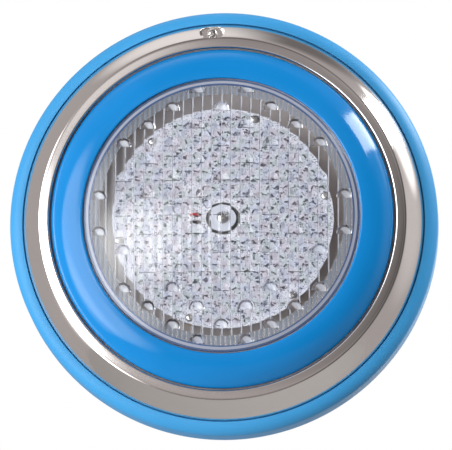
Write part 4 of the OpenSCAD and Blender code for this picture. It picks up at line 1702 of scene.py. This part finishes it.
KEY_GLOWS = (
    Glow(47.0, 195.0, 24.0, 35.0, 4.2),
    Glow(68.0, 207.0, 4.0, 24.0, 2.6),
    Glow(12.5, 197.0, 1.0, 7.5, 6.0),
    Glow(100.0, 103.0, 6.0, 26.0, 0.5),
    Glow(109.0, 47.0, 5.0, 10.0, 2.0),
    Glow(105.0, 35.0, 2.0, 17.0, 1.3),
    Glow(100.0, 8.0, 4.0, 30.0, 0.22),
    Glow(10.5, 130.0, 1.0, 7.0, 0.4),
    Glow(160.0, 50.0, 8.0, 24.0, 1.2),
)
DARK_GLOWS = (
    Glow(48.0, 350.0, 16.0, 44.0, 0.75),
    Glow(9.0, 345.0, 2.0, 11.0, 0.5),
    Glow(46.0, 82.0, 14.0, 36.0, 0.6),
    Glow(48.0, 272.0, 14.0, 36.0, 0.5),
    Glow(107.0, 76.0, 6.0, 20.0, 0.6),
    Glow(10.0, 76.0, 2.0, 7.0, 0.3),
)


@dataclass
class Studio:
    """Floor, light and camera."""

    azimuth: float = 2.5
    elevation: float = -9.0
    lens: float = 600.0
    sensor: float = 36.0
    view_width: float = 307.1
    aim_right: float = 0.54
    aim_up: float = 2.31
    floor_z: float = -1500.0
    floor_r: float = 2000.0
    surround: Colour = (0.45, 0.42, 0.415)
    rim_away: float = 86.0
    rim_around: float = 40.0
    rim_distance: float = 2.0
    rim_size: tuple[float, float] = (2.1, 0.5)
    rim_bright: float = 14.0

    @staticmethod
    def direction(azimuth: float, elevation: float) -> Vector:
        """The way from the lamp towards a place round it."""
        a, e = math.radians(azimuth), math.radians(elevation)
        return Vector((math.sin(a) * math.cos(e), -math.cos(a) * math.cos(e), math.sin(e)))

    def axes(self, mirrored: bool = False) -> tuple[Vector, Vector, Vector]:
        """A place's right, its up, and the way from the lamp to it.

        Args:
            mirrored: Whether it is the camera's mirror image in a flat face, or the camera.

        Returns:
            Three unit vectors.
        """
        sign = -1 if mirrored else 1
        back = self.direction(sign * self.azimuth, sign * self.elevation)
        facing = (-back).to_track_quat("-Z", "Y")
        return facing @ Vector((1, 0, 0)), facing @ Vector((0, 1, 0)), back

    def towards(self, away: float, around: float) -> Vector:
        """The way from the lamp to a place in the room.

        Args:
            away: Degrees away from where a flat face mirrors the camera.
            around: Degrees round from the right, anticlockwise as the camera sees it.

        Returns:
            A unit vector.
        """
        right, up, back = self.axes(mirrored=True)
        a, r = math.radians(away), math.radians(around)
        side = right * math.cos(r) + up * math.sin(r)
        return side * math.sin(a) + back * math.cos(a)

    def glow_sum(self, tree: Tree, way: Value, glows: Sequence[Glow]) -> Value:
        """Adds up several patches of light.

        Args:
            tree: The world's nodes.
            way: The direction that is looked in.
            glows: The patches.

        Returns:
            Their brightness in that direction.
        """
        total: Value = 0.0
        for glow in glows:
            to = tuple(self.towards(glow.away, glow.around))
            near = tree.add("ShaderNodeVectorMath", {0: way, 1: to}, operation="DOT_PRODUCT")
            share = tree.spread(near.outputs["Value"], math.cos(math.radians(glow.edge)),
                                math.cos(math.radians(glow.core)), 0.0, glow.bright)
            total = tree.math("ADD", total, share)
        return total

    def build_world(self) -> None:
        """A white backdrop for the camera, and a softly lit warm grey room for all else."""
        world = bpy.data.worlds.new("studio")
        bpy.context.scene.world = world
        world.use_nodes = True
        world.node_tree.nodes.clear()
        tree = Tree(world.node_tree)
        way = tree.add("ShaderNodeTexCoord").outputs["Generated"]
        lit = self.glow_sum(tree, way, KEY_GLOWS)
        dim = tree.math("SUBTRACT", 1.0, self.glow_sum(tree, way, DARK_GLOWS))
        room = tree.add("ShaderNodeBackground", {"Color": rgba(self.surround), "Strength": dim})
        glow = tree.add("ShaderNodeBackground", {"Color": (1, 1, 1, 1), "Strength": lit})
        both = tree.add("ShaderNodeAddShader", {0: room.outputs[0], 1: glow.outputs[0]})
        seen = tree.add("ShaderNodeBackground", {"Color": (1, 1, 1, 1), "Strength": 1.0})
        path = tree.add("ShaderNodeLightPath")
        mixed = tree.add("ShaderNodeMixShader", {
            0: path.outputs["Is Camera Ray"], 1: both.outputs[0], 2: seen.outputs[0]})
        out = tree.add("ShaderNodeOutputWorld")
        tree.tree.links.new(mixed.outputs[0], out.inputs["Surface"])

    def build_floor(self) -> None:
        """A plain pale floor that hides nothing from below."""
        turn = even_angles(96)
        corners = np.stack((self.floor_r * np.cos(turn), np.full(96, self.floor_z),
                            self.floor_r * np.sin(turn)), axis=1)
        floor = new_piece("studio_floor", corners, [tuple(range(96))])
        if floor.data.polygons[0].normal.z < 0:
            floor.data.flip_normals()
        material, tree, out = blank("pale_floor")
        tone = tree.noise(tree.place(), 2.0, 3.0)
        colour = tree.blend(tone, (0.49, 0.485, 0.48, 1), (0.53, 0.525, 0.52, 1))
        paint = tree.add("ShaderNodeBsdfPrincipled", {"Base Color": colour, "Roughness": 0.7})
        seen = tree.add("ShaderNodeBsdfPrincipled", {"Base Color": (0.88, 0.875, 0.87, 1),
                                                     "Roughness": 0.7})
        eye = tree.add("ShaderNodeLightPath").outputs["Is Camera Ray"]
        top = tree.add("ShaderNodeMixShader", {0: eye, 1: paint.outputs[0], 2: seen.outputs[0]})
        through = tree.add("ShaderNodeBsdfTransparent")
        back = tree.add("ShaderNodeNewGeometry").outputs["Backfacing"]
        both = tree.add("ShaderNodeMixShader", {0: back, 1: top.outputs[0],
                                                2: through.outputs[0]})
        joined(tree, both, out)
        floor.data.materials.append(material)

    def build_rim_light(self) -> None:
        """A strong upright softbox on the right, a little behind the lamp's face."""
        light = bpy.data.lights.new("rim_softbox", "AREA")
        light.shape = "RECTANGLE"
        light.size, light.size_y = self.rim_size
        light.energy = self.rim_bright * math.pi * self.rim_size[0] * self.rim_size[1]
        lamp = bpy.data.objects.new("rim_softbox", light)
        bpy.context.scene.collection.objects.link(lamp)
        way = self.towards(self.rim_away, self.rim_around)
        lamp.location = way * self.rim_distance
        lamp.rotation_mode = "QUATERNION"
        lamp.rotation_quaternion = way.to_track_quat("Z", "Y")
        lamp.visible_camera = False

    def build_camera(self) -> None:
        """A far camera, a little below the lamp and to its right."""
        camera = bpy.data.cameras.new("camera")
        camera.lens, camera.sensor_width = self.lens, self.sensor
        camera.clip_end = 100.0
        eye = bpy.data.objects.new("camera", camera)
        bpy.context.scene.collection.objects.link(eye)
        right, up, back = self.axes()
        distance = self.view_width * MM * self.lens / self.sensor
        eye.rotation_mode = "QUATERNION"
        eye.rotation_quaternion = (-back).to_track_quat("-Z", "Y")
        eye.location = back * distance + right * self.aim_right * MM + up * self.aim_up * MM
        bpy.context.scene.camera = eye

    def build(self) -> None:
        """Builds the studio and how light is carried and shown."""
        self.build_world()
        self.build_floor()
        self.build_rim_light()
        self.build_camera()
        scene = bpy.context.scene
        scene.view_settings.view_transform = "Standard"
        scene.cycles.max_bounces = 16
        scene.cycles.transmission_bounces = 14
        scene.cycles.transparent_max_bounces = 24
        scene.cycles.glossy_bounces = 6


def main() -> None:
    """Builds the studio and every piece of the light, in order."""
    logging.basicConfig(level=logging.INFO, format="%(message)s")
    Studio().build()
    WallBase().build()
    TrimRing().build()
    Bezel().build()
    Lens().build()
    LedBoard().build()
    PilotScrew().build()
    CarriedNodes().build()


if __name__ == "__main__":
    main()
